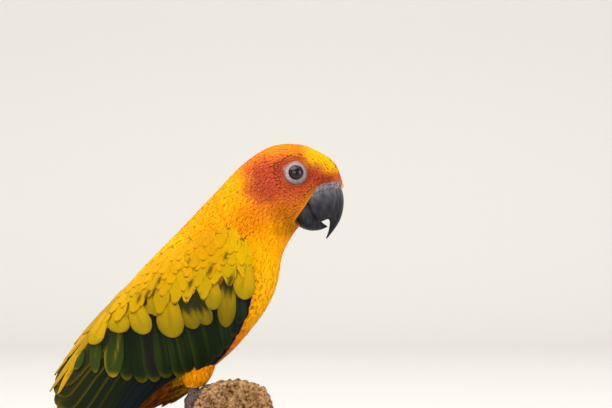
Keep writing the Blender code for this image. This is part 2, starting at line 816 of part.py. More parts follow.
def stand():
    """A plain oval base and two rods."""
    length, width, thick = BASE_SIZE
    floor = -STAND_SHIFT.z
    around = 40
    rings = []
    for height, inset in (
        (0.0, 1.0), (1.0, 0.0), (thick - BASE_CORNER, 0.0), (thick - 1.0, 1.0), (thick, BASE_CORNER)
    ):
        ring = []
        for k in range(around):
            turn = math.tau * k / around
            ring.append(
                Vector((
                    -STAND_SHIFT.x + (length / 2 - inset) * rounded(math.cos(turn), 2.6),
                    (width / 2 - inset) * rounded(math.sin(turn), 2.6),
                    floor + height,
                ))
            )
        rings.append(ring)
    base = loft("stand_base", rings)
    base = fuse("stand_base", [base] + [rod("cutter", y, GAP) for y in ROD_PLACES], "DIFFERENCE")
    finish(base, "stand_wood")
    for y, word in zip(ROD_PLACES, ("near", "far")):
        finish(rod("stand_rod_" + word, y), "stand_steel")


def thigh(name, side, grow=0.0):
    """The feathered part of the leg, from inside the belly down to the ankle."""
    rings = []
    for x, z, out, half_length, half_width in THIGH_ROWS:
        rings.append(
            [
                Vector((
                    x + (half_length + grow) * math.cos(math.tau * k / 14),
                    side * out + (half_width + grow) * math.sin(math.tau * k / 14),
                    z - (grow if z == THIGH_ROWS[-1][1] else 0.0),
                ))
                for k in range(14)
            ]
        )
    return loft(name, rings)


def tube(name, line, radii, sides=7):
    """A closed tube along a line of points."""
    rings = []
    for i, here in enumerate(line):
        ahead = line[min(i + 1, len(line) - 1)] - line[max(i - 1, 0)]
        ahead.normalize()
        across = ahead.cross(Vector((0.0, 1.0, 0.0)))
        if across.length < 0.2:
            across = ahead.cross(Vector((1.0, 0.0, 0.0)))
        across.normalize()
        up = across.cross(ahead)
        rings.append(
            [
                here
                + (across * math.cos(math.tau * k / sides) + up * math.sin(math.tau * k / sides))
                * radii[i]
                for k in range(sides)
            ]
        )
    return loft(name, rings)


def foot(word, side):
    """The bare tarsus, the pad and four toes with claws, two before and two behind."""
    y = side * FOOT_MIDDLE
    angle = math.radians(FOOT_ANGLE[word])
    clear = GAP + 0.15
    pad = perch_point(y, angle, clear + PAD_RADIUS)
    ankle = Vector((THIGH_ROWS[-1][0], side * THIGH_ROWS[-1][2], THIGH_ROWS[-1][1] - GAP))
    pieces = [ball("pad", pad, PAD_RADIUS, 12, 8)]
    shank = []
    for share, radius in ((0.0, 2.2), (0.5, 2.0), (1.0, 2.2)):
        here = ankle + (pad - ankle) * share
        turns = [math.tau * k / 10 for k in range(10)]
        shank.append([here + Vector((math.cos(t), math.sin(t), 0.0)) * radius for t in turns])
    pieces.append(loft("tarsus", shank))
    for turn, spread, size in TOES:
        line = []
        radii = []
        for k in range(7):
            share = k / 6
            place = y + side * spread * share ** 0.8
            knuckle = 1 + 0.12 * math.cos(share * math.tau * 2.5)
            radius = TOE_RADIUS * size * (1 - 0.28 * share) * knuckle
            at = angle + math.radians(turn) * (0.04 + 0.96 * share)
            line.append(perch_point(place, at, clear + radius))
            radii.append(radius)
        for k in range(4):
            share = k / 3
            at = angle + math.radians(turn + math.copysign(CLAW_TURN * share + 2.5, turn))
            radius = CLAW_RADIUS * (1 - 0.8 * share)
            rise = 1.0 * math.cos(share * math.pi / 2) + 0.2
            line.append(perch_point(y + side * spread, at, clear + radius + rise))
            radii.append(radius)
        pieces.append(tube("toe", line, radii))
    return finish(fuse("foot_" + word, pieces, "UNION", "MANIFOLD"), "foot_grey")


def main():
    clear_scene()
    head_with_bill()
    finish(body_part("neck", HEAD_END, NECK_END), "plumage_orange")
    finish(body_part("torso", NECK_END, TORSO_END), "plumage_orange")
    tail()
    wing = finish(right_wing(body_cutter(), thigh("thigh_cutter", -1, GAP)), "plumage_yellow")
    finish(mirrored(wing, "wing_left"), "plumage_yellow")
    for side, word in ((-1, "right"), (1, "left")):
        leg = fuse("thigh_" + word, [thigh("leg", side), body_cutter()], "DIFFERENCE")
        finish(leg, "plumage_orange")
        foot(word, side)
    perch()
    stand()


main()
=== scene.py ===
# Sun conure on a cut length of branch, over a plain display stand.
# Shapes are worked out in millimetres in the bird's own plane (x forward, y to its left, z up,
# from the branch's axis) and moved into the model's frame when a mesh is made.
import math
import bmesh
import bpy
import numpy as np
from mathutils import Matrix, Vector


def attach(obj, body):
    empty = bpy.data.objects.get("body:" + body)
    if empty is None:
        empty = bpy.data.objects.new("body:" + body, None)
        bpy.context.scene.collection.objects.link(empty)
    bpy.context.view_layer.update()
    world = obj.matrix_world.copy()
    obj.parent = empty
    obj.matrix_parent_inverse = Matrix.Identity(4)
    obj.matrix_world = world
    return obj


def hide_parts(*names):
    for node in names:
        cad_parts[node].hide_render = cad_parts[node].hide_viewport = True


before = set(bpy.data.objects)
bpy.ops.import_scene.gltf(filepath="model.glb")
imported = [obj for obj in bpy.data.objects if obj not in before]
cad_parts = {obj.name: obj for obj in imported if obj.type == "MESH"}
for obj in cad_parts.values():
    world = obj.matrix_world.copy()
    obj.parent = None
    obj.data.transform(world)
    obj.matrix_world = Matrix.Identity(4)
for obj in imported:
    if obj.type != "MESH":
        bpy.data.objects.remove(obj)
bpy.context.scene.view_settings.view_transform = "Standard"
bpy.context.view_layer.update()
print("stage: frame loaded")

mm = 0.001
birdShift = np.array((12.0, 0.0, 114.0))


# shared helpers
def hexLinear(text):
    values = [int(text[i:i + 2], 16) / 255 for i in (0, 2, 4)]
    return np.array([v / 12.92 if v <= 0.04045 else ((v + 0.055) / 1.055) ** 2.4 for v in values])


def mix(a, b, share):
    share = np.clip(np.asarray(share, float), 0, 1)[..., None]
    return np.asarray(a) * (1 - share) + np.asarray(b) * share


def smooth(low, high, value):
    t = np.clip((np.asarray(value, float) - low) / (high - low), 0, 1)
    return t * t * (3 - 2 * t)


def wobble(points, size, seed):
    # soft, repeatable noise from a few sine waves, -1 to 1
    p = np.asarray(points, float) / size
    rng = np.random.default_rng(seed)
    total = 0
    for _ in range(5):
        way = rng.normal(size=p.shape[-1])
        total = total + np.sin(p @ way * 2.1 + rng.uniform(0, 6.3))
    return total / 3.2


def makeMesh(name, points, faceLists, paint=None, bake=None, barb=None, lay=None, flatUnder=False):
    # faceLists: index arrays, each of faces with one number of corners; a feather's underside is
    # shaded flat so that the rim doesn't bend the light on its top
    mesh = bpy.data.meshes.new(name)
    points = (np.asarray(points, float) + birdShift) * mm
    mesh.vertices.add(len(points))
    mesh.vertices.foreach_set("co", points.astype(np.float32).ravel())
    faceLists = [np.asarray(f, np.int32) for f in faceLists if len(f)]
    corners = np.concatenate([f.ravel() for f in faceLists])
    sizes = np.concatenate([np.full(len(f), f.shape[1], np.int32) for f in faceLists])
    mesh.loops.add(len(corners))
    mesh.loops.foreach_set("vertex_index", corners)
    mesh.polygons.add(len(sizes))
    starts = np.concatenate(([0], np.cumsum(sizes)[:-1])).astype(np.int32)
    mesh.polygons.foreach_set("loop_start", starts)
    mesh.update(calc_edges=True)
    mesh.polygons.foreach_set("use_smooth", sizes == 4 if flatUnder else np.ones(len(sizes), bool))
    for label, values in (("OFBake", bake), ("Barb", barb)):
        if values is not None:
            layer = mesh.uv_layers.new(name=label)
            layer.data.foreach_set("uv", np.asarray(values, np.float32)[corners].ravel())
    if paint is not None:
        layer = mesh.color_attributes.new("paint", "FLOAT_COLOR", "POINT")
        rgba = np.ones((len(points), 4), np.float32)
        rgba[:, :3] = np.clip(paint, 0, 1)
        layer.data.foreach_set("color", rgba.ravel())
    if lay is not None:
        # the way the surface under a feather faces
        layer = mesh.attributes.new("lay", "FLOAT_VECTOR", "POINT")
        layer.data.foreach_set("vector", np.asarray(lay, np.float32).ravel())
    mesh.validate()
    obj = bpy.data.objects.new(name, mesh)
    bpy.context.scene.collection.objects.link(obj)
    return obj


def gridFaces(rows, columns, wrap=False, start=0):
    # quads of a grid stored row by row
    r, c = np.meshgrid(np.arange(rows - 1), np.arange(columns if wrap else columns - 1), indexing="ij")
    a = r * columns + c
    b = r * columns + (c + 1) % columns
    return np.stack([a, a + columns, b + columns, b], -1).reshape(-1, 4) + start


def endFans(rows, columns, middles, start=0):
    # triangles from the first and the last ring of a tube to two middle points, numbered from middles
    first = np.arange(columns) + start
    last = first + (rows - 1) * columns
    return np.vstack([np.stack([first, np.roll(first, -1), np.full(columns, middles)], -1),
                      np.stack([np.roll(last, -1), last, np.full(columns, middles + 1)], -1)])


def endMiddles(points, columns):
    return np.array([points[:columns].mean(0), points[-columns:].mean(0)])


def rimOf(rows, columns):
    # the outer points of a grid in order
    ring = list(range(columns))
    ring += [r * columns + columns - 1 for r in range(1, rows)]
    ring += [(rows - 1) * columns + c for c in range(columns - 2, -1, -1)]
    ring += [r * columns for r in range(rows - 2, 0, -1)]
    return np.array(ring)


def outward(obj):
    work = bmesh.new()
    work.from_mesh(obj.data)
    bmesh.ops.recalc_face_normals(work, faces=work.faces)
    work.to_mesh(obj.data)
    work.free()


def addNode(tree, kind, settings=None, links=None):
    node = tree.nodes.new(kind)
    for key, value in (settings or {}).items():
        if isinstance(key, str) and hasattr(node, key):
            setattr(node, key, value)
        else:
            node.inputs[key].default_value = value
    for key, value in (links or {}).items():
        tree.links.new(value, node.inputs[key])
    return node


def newMaterial(name, color, roughness):
    made = bpy.data.materials.new(name)
    made.use_nodes = True
    shader = made.node_tree.nodes["Principled BSDF"]
    shader.inputs["Base Color"].default_value = (*hexLinear(color), 1)
    shader.inputs["Roughness"].default_value = roughness
    return made, made.node_tree, shader


# the body's lines: back x and z, belly x and z, half the width
bodyRows = np.array([
    (46.0, 96.0, 25.6, 78.4, 4.2), (42.5, 105.6, 23.4, 74.6, 7.1), (36.5, 110.5, 21.6, 71.4, 11.0),
    (27.0, 114.2, 20.2, 68.4, 14.2), (15.0, 113.4, 19.3, 65.4, 15.0), (3.0, 105.8, 18.8, 62.4, 15.2),
    (-8.5, 94.0, 18.2, 58.2, 16.8), (-23.8, 77.9, 15.7, 49.8, 20.5), (-41.0, 60.3, 9.0, 38.8, 22.5),
    (-55.5, 42.9, -4.5, 23.8, 20.5), (-66.5, 27.6, -25.0, 8.8, 15.0), (-72.8, 16.5, -44.2, -2.6, 10.0),
    (-77.0, -2.0, -61.0, -15.5, 7.0), (-89.0, -24.0, -79.0, -31.0, 4.0),
])
wingRows = np.vstack([bodyRows[:11] + (0, 0, 0, 0, 0.8), [
    (-78.0, 10.0, -36.0, -9.0, 14.0), (-90.0, -10.0, -52.0, -28.0, 12.3), (-104.0, -33.0, -70.0, -50.0, 10.8),
]])
bodyRound = 2.15
wingRound = 2.7


def rowsAt(rows, at):
    at = np.asarray(at, float)
    i = np.clip(np.floor(at).astype(int), 0, len(rows) - 2)
    t = (at - i)[..., None]
    p0, p1 = rows[np.maximum(i - 1, 0)], rows[i]
    p2, p3 = rows[i + 1], rows[np.minimum(i + 2, len(rows) - 1)]
    bend = 2 * p0 - 5 * p1 + 4 * p2 - p3
    twist = 3 * p1 - p0 - 3 * p2 + p3
    return 0.5 * (2 * p1 + (p2 - p0) * t + bend * t * t + twist * t**3)


def hull(rows, roundness, at, turn, grow=0.0):
    # turn 0 is the back, a quarter turn the right side
    at, turn, grow = np.broadcast_arrays(np.asarray(at, float), turn, grow)
    row = rowsAt(rows, at)
    backX, backZ, bellyX, bellyZ, halfWidth = np.moveaxis(row, -1, 0)
    n = roundness
    c, s = np.cos(turn), np.sin(turn)
    reach = (np.abs(c) ** n + np.abs(s) ** n) ** (-1 / n)
    length = np.hypot(backX - bellyX, backZ - bellyZ)
    up = (length / 2 + grow) * reach * c / length
    x = (backX + bellyX) / 2 + (backX - bellyX) * up
    z = (backZ + bellyZ) / 2 + (backZ - bellyZ) * up
    y = -(halfWidth + grow) * reach * s
    return np.stack([x, y, z], -1)


def placed(rows, roundness, x, z, first, last):
    # where a point in profile lies on a form, on its right side
    x, z = np.broadcast_arrays(np.asarray(x, float), np.asarray(z, float))
    marks = np.linspace(first, last, 160)
    row = rowsAt(rows, marks)
    miss = ((row[:, 2] - row[:, 0]) * (z[..., None] - row[:, 1])
            - (row[:, 3] - row[:, 1]) * (x[..., None] - row[:, 0]))
    change = miss[..., :-1] * miss[..., 1:] <= 0
    k = np.where(change.any(-1), change.argmax(-1), np.abs(miss).argmin(-1).clip(0, len(marks) - 2))
    a = np.take_along_axis(miss, k[..., None], -1)[..., 0]
    b = np.take_along_axis(miss, k[..., None] + 1, -1)[..., 0]
    share = np.clip(a / np.where(a == b, 1, a - b), 0, 1)
    at = marks[k] + share * (marks[1] - marks[0])
    row = rowsAt(rows, at)
    acrossX, acrossZ = row[..., 2] - row[..., 0], row[..., 3] - row[..., 1]
    down = ((x - row[..., 0]) * acrossX + (z - row[..., 1]) * acrossZ) / (acrossX**2 + acrossZ**2)
    height = np.clip(1 - 2 * down, -0.995, 0.995)
    wide = (1 - np.abs(height) ** roundness) ** (1 / roundness)
    return at, np.arctan2(wide, height)


eyePlace = np.array((25.4, 102.3))
# folds of the head that the plain loft lacks: x, z, half-length, half-height and how far out
headFolds = [
    (*eyePlace, 5.2, 4.8, -0.7),  # eye socket
    (27.5, 109.0, 7.5, 2.6, 0.7),  # brow
    (20.0, 91.0, 8.5, 7.5, 1.0),  # cheek
    (33.5, 98.5, 3.6, 3.8, -0.6),  # lores
    (12.0, 104.0, 6.0, 7.0, 0.4),  # ear coverts
]


def relief(points):
    x, z = points[..., 0], points[..., 2]
    total = 0
    for cx, cz, rx, rz, tall in headFolds:
        total = total + tall * np.exp(-(((x - cx) / rx) ** 2 + ((z - cz) / rz) ** 2))
    return total * smooth(3, 8, np.abs(points[..., 1]))


def bodySurface(at, turn, grow=0.0):
    plain = hull(bodyRows, bodyRound, at, turn, 0.0)
    return hull(bodyRows, bodyRound, at, turn, np.asarray(grow) + relief(plain))


def wingSurface(at, turn, grow=0.0):
    return hull(wingRows, wingRound, at, turn, grow)


def bodyUnwrap(at, turn):
    # the skin's own unwrap: along the body by round it
    around = (np.asarray(turn) + math.pi) / math.tau % 1.0
    return np.stack([0.03 + 0.94 * around, 0.02 + 0.75 * np.asarray(at, float) / 13.0], -1)


# plumage colours
plumage = {
    "crown": "F48811", "crownBack": "E2761C", "forehead": "FFB80A", "foreheadBase": "EA7038",
    "face": "A63828", "cheek": "D0601A", "lowCheek": "A4560F", "throatShade": "9A5A08", "neck": "FB9F02",
    "neckShade": "C86E02", "breast": "FFB206", "mantle": "EE9402", "back": "DEA602",
    "wingGold": "CD9400", "wingYellow": "D0A800", "wingMid": "B48600", "lobe": "AA8A00",
    "oliveYellow": "756204", "green": "111C08", "greenLight": "34420F", "darkGreen": "0A1208",
    "navy": "0A0E1C", "black": "0C0D0C", "purple": "181014", "flank": "F4700A", "vent": "6A3605",
    "thigh": "EE9402", "rump": "E6B002", "tailTop": "3A480F", "tailTip": "10243C",
}
hue = {key: hexLinear(value) for key, value in plumage.items()}


# red of the face, as soft patches
redPatches = [
    (12.5, 98.3, 9.5, 7.0, 0.9), (13.5, 93.5, 9.0, 5.5, 0.7), (22.5, 103.5, 9.5, 7.5, 0.92),
    (33.0, 100.2, 8.0, 5.6, 0.95), (26.0, 94.5, 7.5, 5.5, 0.85), (39.0, 99.4, 5.5, 2.6, 0.8),
    (12.5, 103.8, 7.0, 4.6, 0.72),
]


def downBack(x, z):
    # distance down the back from the nape
    return (3 - x) * 0.66 + (100 - z) * 0.75


def patchShare(points, patches):
    # how much soft patches cover a point: x, z, half-length, half-height and strength of each
    x, z = points[..., 0], points[..., 2]
    left = 1.0
    for cx, cz, rx, rz, strength in patches:
        left = left * (1 - strength * np.exp(-(((x - cx) / rx) ** 2 + ((z - cz) / rz) ** 2) ** 1.7))
    return 1 - left


def bodyPaint(points):
    # the orange, red and yellow of the head, body and rump, by place in profile, with painted shade at the
    # side of the neck, under the bill and at the vent
    points = np.asarray(points, float)
    x, z = points[..., 0], points[..., 2]
    soft = wobble(points, 4.0, 4) * 1.5
    down = downBack(x, z)
    tone = np.broadcast_to(hue["neck"], points.shape).copy()
    tone = mix(tone, hue["breast"], smooth(74, 60, z + soft) * smooth(-5, 10, x))
    tone = mix(tone, hue["mantle"], smooth(2, 18, down + soft) * smooth(14, 0, x))
    tone = mix(tone, hue["back"], smooth(24, 44, down + soft) * smooth(4, -10, x))
    tone = mix(tone, hue["crown"], smooth(100, 106, z + soft) * smooth(-4, 6, x))
    tone = mix(tone, hue["forehead"], smooth(26, 35, x + soft * 0.6) * smooth(101, 105, z))
    tone = mix(tone, hue["crownBack"], patchShare(points, [(9.5, 106.5, 9.0, 5.5, 0.8)]))
    tone = mix(tone, hue["neckShade"], patchShare(points, [(6.5, 81.5, 8.0, 6.5, 0.75)]))
    low = patchShare(points, [(17.5, 88.5, 12.0, 7.5, 0.85), (25.0, 86.0, 6.0, 5.0, 0.4)])
    tone = mix(tone, hue["cheek"], low * 0.75)
    tone = mix(tone, hue["lowCheek"], patchShare(points, [(20.5, 85.8, 6.0, 4.2, 0.7)]))
    spread = points + np.stack([soft * 0.8, soft * 0, soft * 0.5], -1)
    tone = mix(tone, hue["face"], patchShare(spread, redPatches))
    # painted shade under the lower bill: dark olive-brown over the throat
    chinShade = patchShare(points, [(22.0, 79.2, 6.0, 4.8, 0.85)])
    tone = mix(tone, hue["throatShade"], chinShade * 0.85)
    tone = mix(tone, hue["foreheadBase"], patchShare(points, [(44.0, 99.5, 3.0, 3.2, 0.9)]))
    # flank beside the wing, painted shade at the vent, rump
    tone = mix(tone, hue["flank"], patchShare(points, [(-3.0, 29.0, 12.0, 10.0, 0.75)]))
    tone = mix(tone, hue["vent"], smooth(-18, -29, x) * smooth(30, 16, z - (x + 24) * 0.55))
    tone = mix(tone, hue["rump"], smooth(60, 70, down) * smooth(-40, -56, x) * 0.7)
    tone = mix(tone, hue["tailTop"], smooth(4, -16, z + soft) * smooth(-66, -74, x) * 0.7)
    return tone


# feathers
def vaneTemplate(columns, rows):
    # a lens-shaped closed form: a grid above and the same outline below, drawn in to a keel
    vv, uu = np.meshgrid(np.linspace(0, 1, rows), np.linspace(-1, 1, columns), indexing="ij")
    ring = rimOf(rows, columns)
    under = np.stack([ring, np.roll(ring, -1), np.full(len(ring), rows * columns)], -1)
    return uu.ravel(), vv.ravel(), gridFaces(rows, columns), under


def tangents(surface, at, turn):
    step = 0.01
    along = (surface(at + step, turn) - surface(at - step, turn)) / (2 * step)
    around = (surface(at, turn + step) - surface(at, turn - step)) / (2 * step)
    return along, around


def solvePlane(along, around, way):
    aa, bb = (along * along).sum(-1), (around * around).sum(-1)
    ab = (along * around).sum(-1)
    wa, wb = (way * along).sum(-1), (way * around).sum(-1)
    det = aa * bb - ab * ab
    return (bb * wa - ab * wb) / det, (aa * wb - ab * wa) / det


def unit(vectors):
    return vectors / np.linalg.norm(vectors, axis=-1, keepdims=True)


def layFeathers(name, surface, at, turn, length, width, paintOf, unwrap, settings):
    # small body feathers that follow a surface, each rooted at (at, turn)
    rng = np.random.default_rng(settings["seed"])
    count = len(at)
    columns = settings["columns"]
    u, v, top, under = vaneTemplate(columns, settings["rows"])
    along, around = tangents(surface, at, turn)
    run, out = unit(along), unit(np.cross(along, around))
    side = np.cross(out, run)
    rooted = surface(at, turn)
    sway = settings["sway"] * wobble(rooted, settings["swaySize"], 15)
    lean = rng.normal(0, settings["lean"], count) + sway + settings["leanBy"]
    runNow = run * np.cos(lean)[:, None] + side * np.sin(lean)[:, None]
    sideNow = side * np.cos(lean)[:, None] - run * np.sin(lean)[:, None]
    runA, runB = solvePlane(along, around, runNow)
    sideA, sideB = solvePlane(along, around, sideNow)
    length = length * rng.uniform(0.8, 1.2, count)
    width = width * rng.uniform(0.85, 1.15, count)
    # outline: narrow root, wide middle, a tip split into strands of uneven length
    wide = 0.3 + 0.7 * np.sin(np.clip(v * 0.72 + 0.14, 0, 1) * math.pi) ** 0.8
    strand = np.where(np.arange(columns) % 2, 1.0, 1.0 - settings["comb"])
    comb = strand[None, :] * rng.uniform(1 - settings["ragged"], 1.0, (count, columns))
    comb *= 1 - settings["taper"] * np.abs(np.linspace(-1, 1, columns)) ** 2.2
    column = np.tile(np.arange(columns), settings["rows"])
    reachV = v[None, :] ** 0.9 * (1 + (comb[:, column] - 1) * v[None, :] ** 2)
    offU = u[None, :] * wide[None, :] * (width / 2)[:, None]
    offV = reachV * length[:, None]
    lift = settings["lift"] * rng.uniform(0.5, 1.5, count)
    high = settings["root"] + (lift[:, None] - settings["root"]) * v[None, :] ** 0.7
    high = high - settings["camber"] * width[:, None] * (u[None, :] ** 2) * 0.5
    # the keel under the middle closes the form
    offU = np.concatenate([offU, np.zeros((count, 1))], 1)
    offV = np.concatenate([offV, length[:, None] * 0.5], 1)
    keel = settings["root"] + (lift - settings["root"]) * 0.45 - settings["thick"]
    high = np.concatenate([high, keel[:, None]], 1)
    atNow = at[:, None] + offV * runA[:, None] + offU * sideA[:, None]
    turnNow = turn[:, None] + offV * runB[:, None] + offU * sideB[:, None]
    points = surface(atNow, turnNow, high)
    each = points.shape[1]
    first = (np.arange(count) * each)[:, None, None]
    tops = (top[None] + first).reshape(-1, 4)
    unders = (under[None] + first).reshape(-1, 3)
    vAll, uAll = np.concatenate([v, [0.5]]), np.concatenate([u, [0.0]])
    tint = paintOf(points, vAll, uAll, rng)
    bake = unwrap(at, turn)[:, None, :] + np.stack([uAll, vAll * 2 - 1], -1)[None] * 0.0015
    barb = np.stack([offU, offV], -1) * 0.1 + rng.uniform(0, 9, (count, 1, 1))
    tipAlong, tipAround = tangents(surface, at + length * runA, turn + length * runB)
    tipOut = unit(np.cross(tipAlong, tipAround))
    lay = out[:, None, :] * (1 - vAll)[None, :, None] + tipOut[:, None, :] * vAll[None, :, None]
    if "calm" in settings:
        # light a steep edge more like the plain form below it
        calmAlong, calmAround = tangents(settings["calm"], at, turn)
        lay = lay + 1.5 * unit(np.cross(calmAlong, calmAround))[:, None, :]
    lay = unit(lay + rng.normal(0, settings["facet"], (count, 1, 3)))
    return makeMesh(name, points.reshape(-1, 3), [tops, unders], tint.reshape(-1, 3),
                    bake.reshape(-1, 2), barb.reshape(-1, 2), lay.reshape(-1, 3), flatUnder=True)


def scatter(surface, first, last, spacingOf, keepOf, seed, tries):
    # evenly spread roots: a dart is kept where no other lies within its spacing
    rng = np.random.default_rng(seed)
    at = rng.uniform(first, last, tries)
    turn = rng.uniform(-math.pi, math.pi, tries)
    along, around = tangents(surface, at, turn)
    area = np.linalg.norm(np.cross(along, around), axis=-1)
    spacing = spacingOf(at, turn)
    weight = area / spacing**2
    keep = rng.uniform(0, np.quantile(weight, 0.995), tries) < weight
    at, turn, spacing = at[keep], turn[keep], spacing[keep]
    points = surface(at, turn)
    wanted = keepOf(points, at, turn)
    at, turn, spacing, points = at[wanted], turn[wanted], spacing[wanted], points[wanted]
    cell = spacing.max()
    cells = np.floor(points / cell).astype(int)
    steps = [(i, j, k) for i in (-1, 0, 1) for j in (-1, 0, 1) for k in (-1, 0, 1)]
    held, chosen = {}, []
    for i, (p, (kx, ky, kz)) in enumerate(zip(points, cells)):
        nearby = (q for dx, dy, dz in steps for q in held.get((kx + dx, ky + dy, kz + dz), ()))
        gap = spacing[i] ** 2
        if all((p[0] - q[0]) ** 2 + (p[1] - q[1]) ** 2 + (p[2] - q[2]) ** 2 >= gap for q in nearby):
            held.setdefault((kx, ky, kz), []).append((p[0], p[1], p[2]))
            chosen.append(i)
    return at[chosen], turn[chosen]


def paintedBase(tree, shader, pattern, darkest, lightest):
    # the paint attribute, made darker and lighter by a pattern, as the base colour
    paint = addNode(tree, "ShaderNodeAttribute", {"attribute_name": "paint"})
    shade = addNode(tree, "ShaderNodeMapRange",
                    {"From Min": 0.3, "From Max": 0.7, "To Min": darkest, "To Max": lightest},
                    {"Value": pattern})
    toned = addNode(tree, "ShaderNodeVectorMath", {"operation": "SCALE"},
                    {0: paint.outputs["Color"], "Scale": shade.outputs[0]})
    tree.links.new(toned.outputs[0], shader.inputs["Base Color"])


def featherShader(name, color, roughness, gloss, softness, streakScale, slanted, contrast):
    # keratin barbs: colour from the paint attribute, streaked along the barbs, and shaded part
    # of the way towards the surface underneath so that many vanes read as one soft coat
    made, tree, shader = newMaterial(name, color, roughness)
    barbUv = addNode(tree, "ShaderNodeUVMap", {"uv_map": "Barb"})
    parts = addNode(tree, "ShaderNodeSeparateXYZ", {}, {0: barbUv.outputs[0]})
    aside = addNode(tree, "ShaderNodeMath", {"operation": "ABSOLUTE"}, {0: parts.outputs[0]})
    slant = addNode(tree, "ShaderNodeMath", {"operation": "MULTIPLY_ADD", 1: -slanted},
                    {0: aside.outputs[0], 2: parts.outputs[1]})
    joined = addNode(tree, "ShaderNodeCombineXYZ", {},
                     {0: slant.outputs[0] if slanted else parts.outputs[0],
                      1: aside.outputs[0] if slanted else parts.outputs[1]})
    spread = addNode(tree, "ShaderNodeMapping", {"Scale": (*streakScale, 1.0)},
                     {"Vector": joined.outputs[0]})
    streak = addNode(tree, "ShaderNodeTexNoise", {"Scale": 1.0, "Detail": 3.0, "Roughness": 0.6},
                     {"Vector": spread.outputs[0]})
    paintedBase(tree, shader, streak.outputs[0], 1 - contrast, 1 + contrast)
    lay = addNode(tree, "ShaderNodeAttribute", {"attribute_name": "lay"})
    shape = addNode(tree, "ShaderNodeNewGeometry")
    blend = addNode(tree, "ShaderNodeMix", {"data_type": "VECTOR"})
    blend.inputs["Factor"].default_value = softness
    tree.links.new(shape.outputs["Normal"], blend.inputs[4])
    tree.links.new(lay.outputs["Vector"], blend.inputs[5])
    even = addNode(tree, "ShaderNodeVectorMath", {"operation": "NORMALIZE"}, {0: blend.outputs[1]})
    ridge = addNode(tree, "ShaderNodeBump", {"Strength": 2 * contrast, "Distance": 0.0002},
                    {"Height": streak.outputs[0], "Normal": even.outputs[0]})
    tree.links.new(ridge.outputs[0], shader.inputs["Normal"])
    shader.inputs["Specular IOR Level"].default_value = gloss
    return made


# streaks are counted in a centimetre across and along the feather; real barbs are too fine to
# show, so these are coarser
# body feather: matt, streaked along its length
featherMat = featherShader("contourFeather", "F0A010", roughness=0.75, gloss=0.04, softness=0.95,
                           streakScale=(30.0, 2.0), slanted=0.0, contrast=0.04)
# flight feather: a little gloss, barbs at a slant from the shaft
vaneMat = featherShader("flightVane", "2A3A20", roughness=0.65, gloss=0.06, softness=0.7,
                        streakScale=(22.0, 4.0), slanted=1.4, contrast=0.10)


# skin
skinShape = {"depth": 0.5, "mouthSink": 2.4, "alongSteps": 230, "aroundSteps": 120,
             "thighAlong": 24, "thighAround": 32}


def buildSkin():
    # the body's skin, half a millimetre under the roots of its feathers, with both thighs'
    rows, columns = skinShape["alongSteps"], skinShape["aroundSteps"]
    turn = np.linspace(-math.pi, math.pi, columns, endpoint=False)
    aa, tt = np.meshgrid(np.linspace(0.02, 12.9, rows), turn, indexing="ij")
    plain = bodySurface(aa, tt)
    sink = skinShape["mouthSink"] * smooth(0.2, -1.0, nearBill(plain)) * smooth(94, 91, plain[..., 2])
    points = bodySurface(aa, tt, -skinShape["depth"] - sink).reshape(-1, 3)
    faces = [gridFaces(rows, columns, True), endFans(rows, columns, len(points))]
    points = np.vstack([points, endMiddles(points, columns)])
    bake = np.vstack([bodyUnwrap(aa, tt).reshape(-1, 2), [(0.5, 0.01), (0.5, 0.78)]])
    # painted shade: the skin takes the plumage's colour, darker, as the shade deep between the feathers
    paint = bodyPaint(points) * 0.85
    gape = smooth(0.1, -0.5, nearBill(points)) * smooth(95, 93, points[..., 2])
    paint = mix(paint, hexLinear("1C1718"), gape)
    return joinPieces("skin", [(points, faces, paint, bake), thighSkin(-1), thighSkin(1)])


def joinPieces(name, pieces):
    # several skins, each of points, faces, paint and unwrap, in one mesh
    points = np.vstack([p[0] for p in pieces])
    quads, tris, start = [], [], 0
    for p in pieces:
        for f in p[1]:
            f = np.asarray(f)
            (quads if f.shape[1] == 4 else tris).append(f + start)
        start += len(p[0])
    faces = [np.vstack(quads)] + ([np.vstack(tris)] if tris else [])
    paint = np.vstack([p[2] for p in pieces])
    bake = np.vstack([p[3] for p in pieces])
    # lay starts as a stand-in and is filled from the finished normals
    obj = makeMesh(name, points, faces, paint, bake, bake * 3, points)
    outward(obj)
    normals = np.empty(len(points) * 3, np.float32)
    obj.data.vertices.foreach_get("normal", normals)
    obj.data.attributes["lay"].data.foreach_set("vector", normals)
    return obj


# thigh: x, z, distance from the middle, half-length fore and aft, half-width
thighRows = np.array([
    (-17.0, 31.0, 10.0, 8.4, 5.5), (-16.8, 25.0, 11.0, 8.0, 5.4), (-16.4, 20.0, 11.8, 7.2, 4.9),
    (-16.4, 16.0, 12.3, 6.0, 4.2), (-17.0, 13.0, 12.6, 4.4, 3.2), (-17.6, 11.8, 12.7, 3.0, 2.4),
])


def thighSurface(side):
    def surface(at, turn, grow=0.0):
        at, turn, grow = np.broadcast_arrays(np.asarray(at, float), turn, grow)
        x, z, out, halfLength, halfWidth = np.moveaxis(rowsAt(thighRows, at), -1, 0)
        reachX, reachY = (halfLength + grow) * np.cos(turn), (halfWidth + grow) * np.sin(turn)
        return np.stack([x + reachX, side * out + reachY, z + 0 * grow], -1)
    return surface


def thighUnwrap(side):
    # a strip above the body's own unwrap, one for each side
    offset = 0.2 if side < 0 else 0.6
    return lambda at, turn: np.stack([offset + turn / math.tau * 0.15 + 0.07, 0.82 + at / 5 * 0.15], -1)


